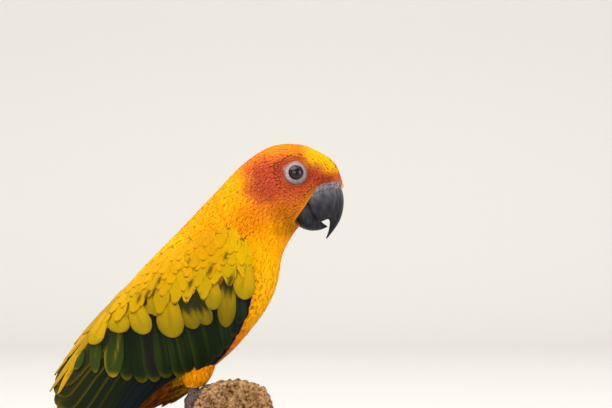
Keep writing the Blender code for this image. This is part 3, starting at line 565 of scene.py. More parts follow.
def thighSkin(side):
    rows, columns = skinShape["thighAlong"], skinShape["thighAround"]
    turn = np.linspace(-math.pi, math.pi, columns, endpoint=False)
    aa, tt = np.meshgrid(np.linspace(0.3, 4.95, rows), turn, indexing="ij")
    points = thighSurface(side)(aa, tt, -skinShape["depth"]).reshape(-1, 3)
    bake = thighUnwrap(side)(aa, tt).reshape(-1, 2)
    faces = [gridFaces(rows, columns, True), endFans(rows, columns, len(points))]
    points = np.vstack([points, endMiddles(points, columns)])
    bake = np.vstack([bake, bake[:2]])
    # painted shade: the thigh's colour, darker, for skin deep between its feathers
    return points, faces, np.broadcast_to(hue["thigh"] * 0.8, points.shape), bake


# body feathers
# comb and ragged part the tip into strands; lift and root are how high the tip and the root lie
coat = {"columns": 9, "rows": 4, "comb": 0.32, "ragged": 0.18, "taper": 0.4, "lift": 0.04,
        "root": -0.11, "camber": 0.015, "thick": 0.05, "lean": 0.08, "sway": 0.10, "swaySize": 9.0,
        "facet": 0.012, "leanBy": 0.0, "ventLift": 2.6, "eachPiece": 2600, "darts": 170000,
        "quickDarts": 60000}

# where the feathers stop round the bill, from the forehead down to the chin
featherEdge = np.array([
    (45.8, 95.6), (44.6, 97.4), (42.1, 98.1), (39.1, 98.2), (36.2, 96.3), (33.6, 94.2), (31.2, 91.2),
    (28.8, 87.5), (26.0, 83.7), (24.4, 81.4), (25.6, 79.6), (60.0, 79.6), (60.0, 95.6),
])


def nearBill(points):
    # distance outside the bare patch of the bill and cere, in profile
    p = points[..., (0, 2)]
    start, end = featherEdge, np.roll(featherEdge, -1, 0)
    way = end - start
    away = p[..., None, :] - start
    share = np.clip((away * way).sum(-1) / (way * way).sum(-1), 0, 1)
    gap = np.linalg.norm(away - way * share[..., None], axis=-1).min(-1)
    x, z = p[..., 0, None], p[..., 1, None]
    crosses = (start[:, 1] > z) != (end[:, 1] > z)
    level = start[:, 0] + (z - start[:, 1]) / np.where(way[:, 1] == 0, 1e-9, way[:, 1]) * way[:, 0]
    inside = (crosses & (x < level)).sum(-1) % 2 == 1
    return np.where(inside, -gap, gap)


def eyeDistance(points):
    x, z = points[..., 0] - eyePlace[0], points[..., 2] - eyePlace[1]
    corner = 1 + 0.20 * np.exp(-((np.arctan2(z, x) - 2.75) / 0.35) ** 2)
    return np.where(np.abs(points[..., 1]) > 6, np.hypot(x, z) / corner, 99.0)


def sideShare(turn, roundness):
    # 0 at the back, 1 at the belly, by height in the section
    c, s = np.cos(turn), np.sin(turn)
    reach = (np.abs(c) ** roundness + np.abs(s) ** roundness) ** (-1 / roundness)
    return (1 - c * reach) / 2


def underWing(at, turn):
    # where the folded wing hides the body
    top = np.interp(at, wingArm[:, 0], wingArm[:, 1])
    bottom = np.interp(at, wingArm[:, 0], wingArm[:, 2])
    down = sideShare(turn, bodyRound)
    return (at > 6.7) & (at < 10.2) & (down > top + 0.1) & (down < bottom - 0.08)


wingArm = np.array([
    # along, upper edge, lower edge, depth, height over the body
    (6.12, 0.42, 0.56, 4.0, 0.8), (6.45, 0.30, 0.69, 5.0, 2.0), (7.0, 0.15, 0.80, 6.0, 2.6),
    (7.5, 0.09, 0.87, 6.0, 2.5), (8.0, 0.045, 0.91, 6.0, 2.2), (8.5, 0.02, 0.93, 6.0, 1.9),
    (9.0, 0.012, 0.93, 5.0, 1.5), (9.5, 0.015, 0.90, 4.5, 1.2), (10.0, 0.04, 0.82, 3.0, 1.0),
    (10.5, 0.20, 0.68, 1.2, 0.7),
])


def coatKeep(points, at, turn):
    return (nearBill(points) > 0.25) & (eyeDistance(points) > 5.3) & ~underWing(at, turn)


# how far apart body feathers are rooted and how long they are, from the forehead to the rump
featherRows = np.array([
    # along, spacing, length
    (0, 0.72, 2.0), (1.2, 0.8, 2.7), (3, 0.95, 4.2), (5, 1.15, 6.0), (6.5, 1.5, 8.0), (8, 1.8, 9.5),
    (11, 1.9, 11.0), (13, 1.7, 12.0),
])


def bodySpacing(at, turn):
    return np.interp(at, featherRows[:, 0], featherRows[:, 1])


def bodyLength(at, points):
    plain = np.interp(at, featherRows[:, 0], featherRows[:, 2])
    near = np.clip((eyeDistance(points) - 4.7) / 4.5, 0.35, 1)
    return plain * near * np.clip(0.45 + nearBill(points) / 6, 0, 1)


def coatPaint(points, v, u, rng):
    base = bodyPaint(points[:, -1])
    count = len(base)
    lighter = rng.normal(1.0, 0.022, (count, 1))
    redder = 1 + rng.normal(0, 0.02, (count, 1)) * (0.2, -1.0, -1.0)
    base = base * lighter * redder
    # painted shade: the covered part of each feather is painted darker
    depth = 0.93 + 0.08 * v**0.8  # a little darker where the feather goes under the next
    return base[:, None, :] * depth[None, :, None]


def chunks(at, turn, size):
    # feathers in pieces of one size, from the head back
    order = np.argsort(at, kind="stable")
    for first in range(0, len(order), size):
        pick = order[first:first + size]
        yield at[pick], turn[pick]


def evenly(spacing):
    return lambda at, turn: spacing + 0 * at


def everywhere(points, at, turn):
    return at > 0


def thighPaint(points, v, u, rng):
    low = smooth(24, 12, points[:, -1, 2])
    base = mix(hue["flank"], hue["thigh"], 0.5 + low) * rng.normal(1.05, 0.05, (len(points), 1))
    # painted shade: darker towards each feather's covered root
    return base[:, None, :] * (0.92 + 0.1 * v)[None, :, None]


def buildCoat():
    made = []
    darts = coat["darts"]
    at, turn = scatter(bodySurface, 0.0, 11.3, bodySpacing, coatKeep, 20, darts)
    print("stage: coat,", len(at), "feathers")
    for number, (a, t) in enumerate(chunks(at, turn, coat["eachPiece"])):
        rooted = bodySurface(a, t)
        length = bodyLength(a, rooted)
        settings = dict(coat, seed=40 + number)
        if number == 0:
            settings.update(thick=0.04)
        else:
            # loose fluff round the vent
            loose = np.exp(-((rooted[:, 0] + 20) / 9) ** 2 - ((rooted[:, 2] - 13) / 8) ** 2)
            settings.update(lift=coat["lift"] + coat["ventLift"] * loose)
            length = length * (1 + 0.4 * loose)
        width = length * np.interp(a, (0, 4, 7, 11), (0.40, 0.38, 0.42, 0.42))
        made.append(layFeathers("coat_" + str(number + 1), bodySurface, a, t, length, width,
                                coatPaint, bodyUnwrap, settings))
    for side, word in ((-1, "right"), (1, "left")):
        surface = thighSurface(side)
        at, turn = scatter(surface, 0.6, 4.5, evenly(1.2), everywhere, 60 + side, 6000)
        settings = dict(coat, seed=70 + side, lift=0.12, lean=0.12, root=-0.3)
        length = np.interp(at, (0, 3, 4, 4.6), (7.5, 6.0, 2.8, 1.5))
        made.append(layFeathers("coat_thigh_" + word, surface, at, turn, length, 2.6 + 0 * at,
                                thighPaint, thighUnwrap(side), settings))
    return made


# wings
def alongCurve(points, count):
    # evenly numbered places on a smooth line through a few points
    points = np.asarray(points, float)
    return rowsAt(points, np.linspace(0, len(points) - 1, count))


def vaneShell(rows, columns):
    # a closed thin plate: upper grid, lower grid and a rim
    each = rows * columns
    faces = gridFaces(rows, columns)
    edge = rimOf(rows, columns)
    after = np.roll(edge, -1)
    return np.vstack([faces, faces[:, ::-1] + each, np.stack([after, after + each, edge + each, edge], -1)])


def vaneWidth(v, point, square, waist, rng, fray, splits):
    # half-width along each side of a vane: full body, rounded tip, uneven edge and a few splits
    wide = np.interp(v, (0, point * 0.5, point, 1), (0.45, waist, 1.0, 1.0))
    tipShare = np.clip((v - point) / (1 - point), 0, 1)
    wide = wide * np.sqrt(np.clip(1 - tipShare**square, 0.0, 1)) + 0.012
    sides = []
    for _ in range(2):
        edge = wide * (1 + rng.normal(0, fray, len(v)))
        for place in rng.uniform(0.35, 0.97, rng.integers(0, splits + 1)):
            row = int(np.abs(v - place).argmin())
            edge[row] *= rng.uniform(0.55, 0.85)
        sides.append(edge)
    return np.stack(sides, -1)


# what a row of vanes has unless wingTiers says otherwise: point is where the tip starts to round
# off, square how blunt it is, waist how wide the root is, roll and camber how the vane lies,
# step, stack and rough how heights differ along the row, at random and within a vane
vaneUsual = {"columns": 11, "rows": 16, "stray": 0.5, "bow": 0.0, "point": 0.6, "square": 2.4, "waist": 0.9,
             "fray": 0.03, "splits": 2, "roll": 0.3, "camber": 0.35, "rough": 0.025, "step": 0,
             "stack": 0.08, "least": 0.06, "thick": 0.2, "shaft": 0.22, "shaftHalf": 0.10}


def bigVanes(surface, tiers, bounds, seed):
    # flight feathers and coverts: each runs from a root to a tip given in profile
    rng = np.random.default_rng(seed)
    gathered = [[], [], [], [], [], []]
    start, number = 0, 0
    gridSide = math.ceil(math.sqrt(sum(len(t["tipList"]) for t in tiers)))
    for tier in tiers:
        tier = dict(vaneUsual, **tier)
        count = len(tier["tipList"])
        tips = np.asarray(tier["tipList"], float)
        roots = alongCurve(tier["roots"], count)
        columns, rows = tier["columns"], tier["rows"]
        u = np.linspace(-1, 1, columns)
        v = 1 - (1 - np.linspace(0, 1, rows)) ** 1.5
        quads = vaneShell(rows, columns)
        for k in range(count):
            stray = rng.normal(0, tier["stray"], 4) * (1, 1, 0.4, 0.4)
            atA, turnA = placed(wingRows, wingRound, *(roots[k] + stray[:2]), *bounds)
            atB, turnB = placed(wingRows, wingRound, *(tips[k] + stray[2:]), *bounds)
            bow = tier["bow"] + rng.normal(0, 0.02)
            at = atA + (atB - atA) * v
            turn = turnA + (turnB - turnA) * v + bow * v * (1 - v)
            along, around = tangents(surface, at, turn)
            run = along * (atB - atA) + around * (turnB - turnA + bow * (1 - 2 * v))[:, None]
            reach = np.linalg.norm(run, axis=-1).mean()
            run = unit(run)
            out = unit(np.cross(along, around))
            sideA, sideB = solvePlane(along, around, np.cross(out, run))
            width = (tier["widths"][k] if "widths" in tier else tier["width"]) * rng.uniform(0.9, 1.12)
            point = np.clip(tier["point"] + rng.normal(0, 0.04), 0.3, 0.9)
            square = tier["square"] * rng.uniform(0.85, 1.2)
            sides = vaneWidth(v, point, square, tier["waist"], rng, tier["fray"], tier["splits"]) * width / 2
            uu = np.broadcast_to(u, (rows, columns))
            off = np.where(uu < 0, uu * sides[:, :1], uu * sides[:, 1:])
            low, high = tier["heights"]
            roll = tier["roll"] * u[None, :] * rng.uniform(0.6, 1.3)
            height = low + (high - low) * v[:, None] ** 0.9 + roll - tier["camber"] * u[None, :] ** 2
            shaft = np.exp(-((u[None, :] / tier["shaftHalf"]) ** 2)) * (1 - v[:, None])
            height = height + tier["shaft"] * shaft
            height = height + rng.normal(0, tier["rough"], (rows, columns)) + tier["step"] * k
            height = height + rng.normal(0, tier["stack"])
            atGrid = at[:, None] + off * sideA[:, None]
            turnGrid = np.maximum(turn[:, None] + off * sideB[:, None], tier["least"])
            above = surface(atGrid, turnGrid, height)
            below = surface(atGrid, turnGrid, height - tier["thick"])
            vv = np.broadcast_to(v[:, None], (rows, columns))
            tint = tier["paint"](above, uu, vv, k, count, rng)
            lay = np.broadcast_to(out[:, None, :], above.shape).reshape(-1, 3)
            # the unwrap: a square cell for each vane, its top in the left half
            spot = (np.array((number % gridSide, number // gridSide)) + 0.5) / gridSide
            cell = np.stack([uu * 0.2 / gridSide, (vv - 0.5) * 0.86 / gridSide], -1).reshape(-1, 2) + spot
            barb = np.stack([off, vv * reach + 7.3 * number], -1).reshape(-1, 2) * 0.1
            away = np.array((0.23 / gridSide, 0))
            # painted shade: each vane's underside gets its top's colour at half the brightness
            for held, new in zip(gathered, (
                [above.reshape(-1, 3), below.reshape(-1, 3)], [quads + start],
                [tint.reshape(-1, 3), tint.reshape(-1, 3) * 0.5], [cell - away, cell + away],
                [barb, barb], [lay, -lay],
            )):
                held += new
            start += rows * columns * 2
            number += 1
    return [np.vstack(held) for held in gathered]


def armTop(at, behind=(-0.02, -0.03)):
    # the arm's upper edge, as a share of the way down the side
    return np.interp(at, (6.12, 6.45, 7.0, 7.5, 8.0, 8.6, 12.0), (0.42, 0.30, 0.15, 0.09, 0.03, *behind))


def armHeight(at, turn):
    # how far the short coverts stand out over the body
    height = np.interp(at, (6.1, 6.45, 7.0, 8.0, 9.0, 9.9, 10.5, 11.2),
                       (1.3, 2.9, 3.7, 3.8, 3.8, 3.8, 3.6, 3.0))
    top = armTop(at)
    bottom = np.interp(at, (6.12, 6.45, 7.0, 7.5, 8.0, 12.0), (0.56, 0.69, 0.80, 0.88, 0.94, 0.96))
    down = sideShare(turn, wingRound)
    rise = np.clip((down - top) / 0.16, 0, 1) * np.clip((bottom - down) / 0.14, 0, 1)
    return height * rise**0.6


def armSurface(at, turn, grow=0.0):
    # runs off the wing and onto the back above the arm's upper edge
    onWing = smooth(-0.12, 0.0, sideShare(turn, wingRound) - armTop(at))[..., None]
    outer = wingSurface(at, turn, grow + armHeight(at, turn))
    return bodySurface(at, turn, np.asarray(grow) + 0.12) * (1 - onWing) + outer * onWing


# dark feather bases that show between the small coverts: x, z and radius
darkGaps = [
    (-10.2, 61.3, 1.1), (-3.8, 67.2, 0.9), (-19.1, 65.0, 0.6), (-31.5, 57.0, 0.9), (-1.9, 56.5, 1.5),
    (6.2, 57.5, 0.9), (-33.6, 52.6, 1.0), (-36.6, 51.0, 1.0), (-40.0, 49.4, 1.0), (-18.3, 55.7, 1.0),
    (-15.5, 49.0, 1.3), (-25.0, 46.0, 0.9), (-19.0, 73.5, 0.5),
]


def armPaint(points, v, u, rng):
    base = points[:, -1]
    x, z = base[:, 0], base[:, 2]
    yellow = np.maximum(smooth(30, 42, downBack(x, z)) * 0.4, smooth(-12, 3, x))
    tone = mix(hue["wingGold"], hue["wingYellow"], yellow) * wing["smallTone"]
    low = smooth(0, 1, (75 + 0.35 * x - z) / 20 + 0.2 * wobble(base, 3.0, 21)) * smooth(8, -4, x)
    tone = mix(tone, hue["lobe"] * 0.95, low * 0.85)
    tone = mix(tone, hue["oliveYellow"], low * 0.35 * smooth(-0.2, 0.8, wobble(base, 5.0, 23)))
    tone = tone * rng.normal(1.0, 0.025, (len(base), 1))
    full = np.broadcast_to(tone[:, None, :], (len(base), len(v), 3))
    # dark bases show as slits along the lie of the feathers
    px, pz = points[..., 0], points[..., 2]
    gap = 0.0
    for gx, gz, radius in darkGaps:
        alongGap = (px - gx) * -0.42 + (pz - gz) * -0.91
        acrossGap = (px - gx) * 0.91 + (pz - gz) * -0.42
        away = (alongGap / (2.4 * radius)) ** 2 + (acrossGap / (0.75 * radius)) ** 2
        gap = np.maximum(gap, np.exp(-away**1.5))
    full = mix(full, hue["green"], gap * 0.92)
    root = 0.12 * low[:, None] * smooth(0.4, 0.0, v)[None, :]
    rim = 0.97 + 0.10 * np.maximum(np.abs(u) ** 5, v**7)  # paler edges: partly the feathers' own pale edge, partly painted light that evens out the shade at each tip
    return mix(full, hue["green"], root) * rim[None, :, None]


# how olive each median covert is, from the rear one to the wrist
lobeOlive = (0.15, 0.25, 0.4, 0.6, 0.5, 1.0, 0.9, 0.75, 0.95, 0.3)
# and how far down its dark base reaches
lobeBase = (-0.2, -0.1, 0.15, 0.1, 0.1, 0.6, 0.7, 0.15, 0.45, -0.1)


def medianTint(points, u, v, k, count, rng):
    olive = lobeOlive[k] + rng.uniform(-0.05, 0.05)
    tone = mix(hue["lobe"] * 1.05, hue["oliveYellow"], olive * (0.5 + 0.5 * v + 0.25 * np.abs(u)))
    tone = mix(tone, hue["wingMid"], smooth(0.7, 0.35, v) * (0.8 - 0.6 * olive))
    base = lobeBase[k] + rng.uniform(-0.04, 0.04)
    ragged = v + 0.06 * np.abs(u) + 0.05 * np.sin(u * 9 + k)
    tone = mix(tone, hue["green"], smooth(base + 0.14, base - 0.10, ragged) * 0.95)
    streak = np.exp(-(((u - rng.uniform(-0.3, 0.3)) / 0.14) ** 2)) * smooth(0.95, 0.55, v)
    tone = mix(tone, hue["green"], streak * 0.3)
    shaded = 0.96 - 0.20 * np.abs(u) ** 3 - 0.20 * smooth(0.5, 1.0, v)
    return tone * (rng.uniform(0.94, 1.06) * shaded)[..., None]


def shortMedianTint(points, u, v, k, count, rng):
    tone = mix(hue["lobe"], hue["oliveYellow"], rng.uniform(0.3, 0.9) + 0 * v)
    return mix(tone, hue["green"], smooth(0.50, 0.26, v + 0.08 * np.sin(u * 7 + k)) * 0.95)


def greaterTint(points, u, v, k, count, rng):
    lit = smooth(0.1, 0.9, u * rng.choice((-1, 1))) * rng.uniform(0.15, 0.5)
    tone = mix(hue["green"], hue["greenLight"], lit)
    tone = mix(tone, hue["darkGreen"], smooth(0.7, 0.2, v) * 0.8)
    if k == 2:
        # one worn feather is purplish brown
        tone = mix(tone, hue["purple"], 0.65 * smooth(1.0, 0.8, v) * smooth(1.0, 0.6, np.abs(u)))
    front = k / max(count - 1, 1)
    tone = mix(tone, hue["navy"], smooth(0.65, 1.0, front) * 0.5)
    streaks = smooth(0.2, 0.9, np.sin(u * 17 + 3 * np.sin(u * 5 + k)) * np.sin(v * 3.1)) * 0.22
    tone = mix(tone, hue["greenLight"], streaks)
    fringe = smooth(0.90, 0.99, v + 0.03 * u * u) * (0.45 if k < 5 else 0.12) * rng.uniform(0.4, 1.0)
    return mix(tone, hue["oliveYellow"], fringe)


def primaryTint(points, u, v, k, count, rng):
    tone = mix(hue["black"], hue["navy"], 0.45 + 0.4 * smooth(0.1, 0.9, v))
    return mix(tone, hue["green"], smooth(0.35, 0.95, u) * 0.45)


def secondaryTint(points, u, v, k, count, rng):
    late = k / max(count - 1, 1)
    tone = mix(hue["darkGreen"], hue["green"], 0.25 + 0.35 * late)
    tone = mix(tone, hue["greenLight"], smooth(0.5, -0.9, u) * 0.35 * late)
    tone = mix(tone, hue["navy"], smooth(0.5, 0.0, late) * 0.6)
    fringe = np.maximum(smooth(0.84, 1.0, u), smooth(0.95, 1.0, v)) * smooth(0.35, 0.8, late)
    middle = np.exp(-(((u + 0.2) / 0.3) ** 2)) * smooth(0.3, 0.7, v)
    return mix(tone, hue["oliveYellow"], fringe * 0.34 + (0.05 + 0.2 * middle) * smooth(0.6, 1.0, late))


def strandTint(points, u, v, k, count, rng):
    tone = mix(hue["wingMid"], hue["oliveYellow"], rng.uniform(0.0, 0.5) + 0 * v)
    return tone * rng.uniform(0.75, 1.0)


def navyTint(points, u, v, k, count, rng):
    return mix(hue["navy"], hue["darkGreen"], rng.uniform(0, 0.35) + 0 * v)


def fringedTint(points, u, v, k, count, rng):
    # green feathers with a thin yellow edge and a streak beside the shaft
    tone = mix(hue["green"], hue["greenLight"], 0.6 + 0 * v)
    tone = mix(tone, hue["darkGreen"], 0.5 * smooth(0.7, 0.3, v))
    edge = np.maximum(smooth(0.72, 1.0, -u) * smooth(0.3, 0.6, v), smooth(0.90, 1.0, v))
    streak = np.exp(-(((u - 0.25 - 0.25 * np.sin(v * 5)) / 0.10) ** 2)) * smooth(0.9, 0.6, v)
    strength = (0.8, 0.2, 0.25)[k % 3]
    return mix(tone, hue["lobe"], np.maximum(edge * 0.8, streak * 0.4) * strength)


wing = {"seed": 5, "smallLength": 11.0, "smallWidth": 5.8, "smallSpacing": 3.0, "smallDarts": 50000,
        "smallTone": (0.76, 0.69, 0.2), "coreAlong": 40, "coreAcross": 14}
# how the short feathers of the arm differ from the body's
smallCovert = {"lift": 0.018, "root": -0.03, "camber": 0.002, "thick": 0.03, "comb": 0.0, "ragged": 0.035,
               "taper": 0.42, "columns": 11, "rows": 9, "swaySize": 5.0}


def wingTiers():
    # in order: primaries, secondaries, the leading edge, greater coverts, fringed tertials, short
    # and long median coverts, and loose strands behind
    return [
        {"roots": [(-4, 31), (-14, 33), (-27, 36)],
         "tipList": alongCurve([(-86.5, -31.5), (-83.5, -20), (-72, 0)], 9),
         "width": 10.0, "heights": (0.4, 0.7), "paint": primaryTint, "rows": 30,
         "roll": 0.35, "camber": 0.2, "point": 0.8, "square": 3.0,
         "stray": 0.3, "fray": 0.006, "splits": 0, "step": 0.08, "stack": 0.0, "rough": 0.01},
        {"roots": [(-12, 38), (-30, 41), (-42, 43)],
         "tipList": alongCurve([(-50, 1), (-60, -3), (-67, -4.5), (-73, 1.5), (-74, 12)], 10),
         "width": 11.0, "heights": (0.9, 1.5), "paint": secondaryTint, "rows": 26,
         "roll": 0.2, "camber": 0.12, "point": 0.76, "square": 2.8,
         "stray": 0.3, "fray": 0.006, "splits": 0, "step": 0.13, "stack": 0.0, "rough": 0.01},
        {"roots": [(-1, 44), (2.6, 50), (4.4, 54)],
         "tipList": [(-16.0, 18.6), (-12.8, 20.9), (-9.4, 23.6), (-6.2, 27.0), (-3.4, 31.0), (-0.6, 35.6),
                     (1.8, 40.5), (3.8, 46.0)],
         "width": 4.6, "heights": (0.9, 2.0), "paint": navyTint, "stray": 0.2, "splits": 1},
        {"roots": [(-46, 43), (-30, 46), (-15, 50), (0.5, 54)],
         "tipList": [(-45.5, 15.0), (-39.5, 14.4), (-34.8, 14.6), (-30.0, 16.4), (-25.6, 16.8), (-21.6, 18.8),
                     (-17.4, 19.4), (-13.4, 21.6), (-9.6, 24.8), (-6.2, 29.0), (-3.0, 34.0), (-0.4, 39.5)],
         "widths": [7.0, 7.4, 8.6, 8.0, 7.6, 7.4, 7.0, 7.0, 6.8, 6.4, 6.2, 6.0], "heights": (1.9, 2.5),
         "paint": greaterTint, "rows": 22, "roll": -0.2, "camber": 0.12, "point": 0.66, "square": 2.0,
         "fray": 0.008, "splits": 0, "step": 0.04, "stack": 0.03, "rough": 0.012},
        {"roots": [(-48, 42), (-55, 38), (-62, 32)], "tipList": [(-51.2, 15.9), (-57.5, 17.5), (-65.5, 18.0)],
         "widths": [8.4, 6.0, 6.0], "heights": (2.3, 3.3), "paint": fringedTint, "rows": 22, "fray": 0.01,
         "splits": 0},
        {"roots": [(-48, 43), (-40, 48), (-30, 51)],
         "tipList": [(-53, 36), (-44, 41), (-38.5, 41), (-33.5, 42.5), (-29, 42)],
         "width": 5.6, "heights": (2.6, 3.3), "paint": shortMedianTint, "roll": 0.25, "point": 0.62,
         "waist": 0.65},
        {"roots": [(-51, 43), (-39.5, 50.5), (-25, 54.5), (-12, 58), (4.4, 64)],
         "tipList": [(-58.6, 29.2), (-46.8, 34.4), (-36.4, 34.4), (-31.6, 42.0), (-26.6, 33.2), (-17.6, 37.0),
                     (-12.4, 39.0), (-9.8, 45.4), (-6.0, 38.2), (1.6, 50.0)],
         "widths": [8.8, 9.6, 8.4, 4.6, 9.4, 8.0, 7.4, 7.8, 7.2, 8.4], "heights": (3.0, 3.8),
         "paint": medianTint, "rows": 22, "roll": 0.15, "camber": 0.25, "point": 0.62, "square": 2.1,
         "waist": 0.82, "stray": 0.25, "fray": 0.01, "splits": 0, "rough": 0.01, "stack": 0.12},
        {"roots": [(-46, 50), (-52, 44), (-57, 37)],
         "tipList": [(-62.0, 33.0), (-66.5, 28.5), (-64.5, 24.0), (-70.5, 21.0), (-69.0, 15.5), (-73.8, 15.0),
                     (-72.5, 8.0), (-76.0, 8.5)],
         "widths": [6.4, 6.0, 4.6, 5.6, 4.0, 4.8, 3.4, 3.8], "heights": (2.2, 3.2), "paint": strandTint,
         "rows": 24, "roll": 0.2, "point": 0.45, "square": 1.6, "fray": 0.02, "bow": -0.03},
    ]


def wingCore():
    # the feathered arm under the vanes: below the yellow it is painted dark green, darker than any feather,
    # as the shade in the gaps between the vanes
    across = wing["coreAcross"]
    at = np.linspace(6.3, 10.4, wing["coreAlong"])
    top, bottom, depth, height = (np.interp(at, wingArm[:, 0], wingArm[:, i]) for i in range(1, 5))
    share = top[:, None] + (bottom - top)[:, None] * np.linspace(0, 1, across)[None, :]
    high = 1 - 2 * share
    turn = np.arctan2((1 - np.abs(high) ** wingRound) ** (1 / wingRound), high)
    swell = np.sin(np.linspace(0, math.pi, across)) ** 0.5
    outer = wingSurface(at[:, None], turn, -0.5 + (height * 1.15)[:, None] * swell[None, :])
    inner = wingSurface(at[:, None], turn[:, ::-1], -2.0 + 0 * turn)
    points = np.concatenate([outer, inner], 1).reshape(-1, 3)
    columns = across * 2
    faces = gridFaces(len(at), columns, True)
    caps = endFans(len(at), columns, len(points))
    points = np.vstack([points, endMiddles(points, columns)])
    level = np.interp(points[:, 0], (-74, -60, -48, -36, -20, 0), (18, 30, 42, 49, 54, 59))
    yellow = smooth(-4, 2, points[:, 2] - level)
    # painted shade: the dark green at 0.7 of its brightness below the yellow
    paint = mix(hue["darkGreen"] * 0.7, hue["wingMid"], yellow)
    return points, faces, caps, paint


def smallSpacing(at, turn):
    return wing["smallSpacing"] + 0.12 * (at - 6)


def buildWings():
    tiers = wingTiers()
    points, quads, paint, bake, barb, lay = bigVanes(wingSurface, tiers, (5.8, 13.0), wing["seed"])
    core, coreFaces, coreCaps, corePaint = wingCore()
    made = []
    at, turn = scatter(armSurface, 6.14, 10.9, smallSpacing, smallCovertKeep, 33, wing["smallDarts"])
    length = wing["smallLength"] + 1.0 * (at - 6.2)
    width = length * wing["smallWidth"] / wing["smallLength"]
    steer = np.interp(at, (6.1, 8.0, 9.2, 10.5), (0.50, 0.50, 0.25, 0.0))
    settings = dict(coat, **smallCovert, seed=61, leanBy=steer, calm=wingSurface)
    for side, word in ((-1, "right"), (1, "left")):
        flip = np.array((1.0, -side, 1.0))
        q = quads if side < 0 else quads[:, ::-1]
        vanes = makeMesh("wing_vanes_" + word, points * flip, [q], paint, bake, barb, lay * flip)
        vanes.data.materials.append(vaneMat)
        coreSides = [f if side < 0 else f[:, ::-1] for f in (coreFaces, coreCaps)]
        profile = core[:, (0, 2)]
        under = makeMesh("wing_core_" + word, core * flip, coreSides, corePaint, profile * 0.004 + 0.5,
                         profile * 0.1, core * 0 + (0, side, 0.2))
        under.data.materials.append(vaneMat)
        # the short coverts of the arm
        small = layFeathers("coat_wing_" + word, armSurface, at, turn, length, width, armPaint, bodyUnwrap,
                            settings)
        if side > 0:
            mirrorAcross(small)
        small.data.materials.append(featherMat)
        made += [vanes, under, small]
    print("stage: wings,", sum(len(t["tipList"]) for t in tiers), "vanes and", len(at), "short coverts each")
    return made


def smallCovertKeep(points, at, turn):
    # from the arm's upper edge down to the roots of the median coverts
    x, z = points[..., 0], points[..., 2]
    edge = np.interp(x, (-74, -68, -60, -54, -48, -36, -22, -10, -1, 6),
                     (25, 33, 40, 45, 50, 55.5, 59, 62.5, 66.5, 69))
    down = sideShare(turn, wingRound)
    top = armTop(at, behind=(0.0, 0.0))
    bottom = np.interp(at, wingArm[:, 0], wingArm[:, 2])
    ragged = 2.2 * wobble(points, 4.0, 19)
    above = np.interp(at, (7.4, 8.2), (0.075, -0.004))
    return (turn > 0) & (down > top - above) & ((down < bottom - 0.01) | (at > 9.5)) & (z > edge + ragged)


def mirrorAcross(obj):
    mesh = obj.data
    co = np.empty(len(mesh.vertices) * 3, np.float32)
    mesh.vertices.foreach_get("co", co)
    co[1::3] *= -1
    mesh.vertices.foreach_set("co", co)
    lay = mesh.attributes["lay"].data
    values = np.empty(len(lay) * 3, np.float32)
    lay.foreach_get("vector", values)
    values[1::3] *= -1
    lay.foreach_set("vector", values)
    mesh.flip_normals()


# tail
tail = {"root": (-64.5, 0.0, 1.0), "tip": (-143.0, 0.0, -103.5), "pairs": 6, "shortest": 0.52,
        "width": 11.0, "step": 0.55, "roof": 24.0, "along": 40, "across": 9}


def flatVane(root, tip, width, down, rows, columns, tint, rng, bow=1.2, point=0.8, thick=0.24):
    # a straight feather that faces away from down
    v = np.linspace(0, 1, rows) ** 0.9
    u = np.linspace(-1, 1, columns)
    run = (tip - root) / np.linalg.norm(tip - root)
    side = np.cross(down, run)
    side /= np.linalg.norm(side)
    wide = np.interp(v, (0, 0.3, 0.75, 1), (0.4, 0.8, 1.0, 1.0))
    tipShare = np.clip((v - point) / (1 - point), 0, 1)
    wide = wide * np.sqrt(np.clip(1 - tipShare**2.2, 0, 1)) + 0.012
    uu = np.broadcast_to(u, (rows, columns)).copy()
    uu[:, 0] *= 1 + rng.normal(0, 0.03, rows)
    uu[:, -1] *= 1 + rng.normal(0, 0.03, rows)
    vv = np.broadcast_to(v[:, None], (rows, columns))
    off = uu * (width / 2 * wide)[:, None]
    lift = -0.10 * uu**2 * width * 0.4 + 0.28 * np.exp(-(uu / 0.09) ** 2) * (1 - vv)
    lift = lift + rng.normal(0, 0.03, (rows, columns))
    middle = root + (tip - root) * v[:, None] + down * (bow * 4 * v * (1 - v))[:, None]
    above = middle[:, None, :] + off[..., None] * side - down * (lift + thick / 2)[..., None]
    below = above + down * thick
    quads = vaneShell(rows, columns)
    barb = np.stack([off, vv * np.linalg.norm(tip - root)], -1).reshape(-1, 2) * 0.1
    top, low = tint(uu, vv)
    facing = np.broadcast_to(-down, (rows * columns, 3))
    return (np.concatenate([above.reshape(-1, 3), below.reshape(-1, 3)]), quads,
            np.concatenate([top.reshape(-1, 3), low.reshape(-1, 3)]), np.concatenate([barb, barb]),
            np.concatenate([facing, -facing]))


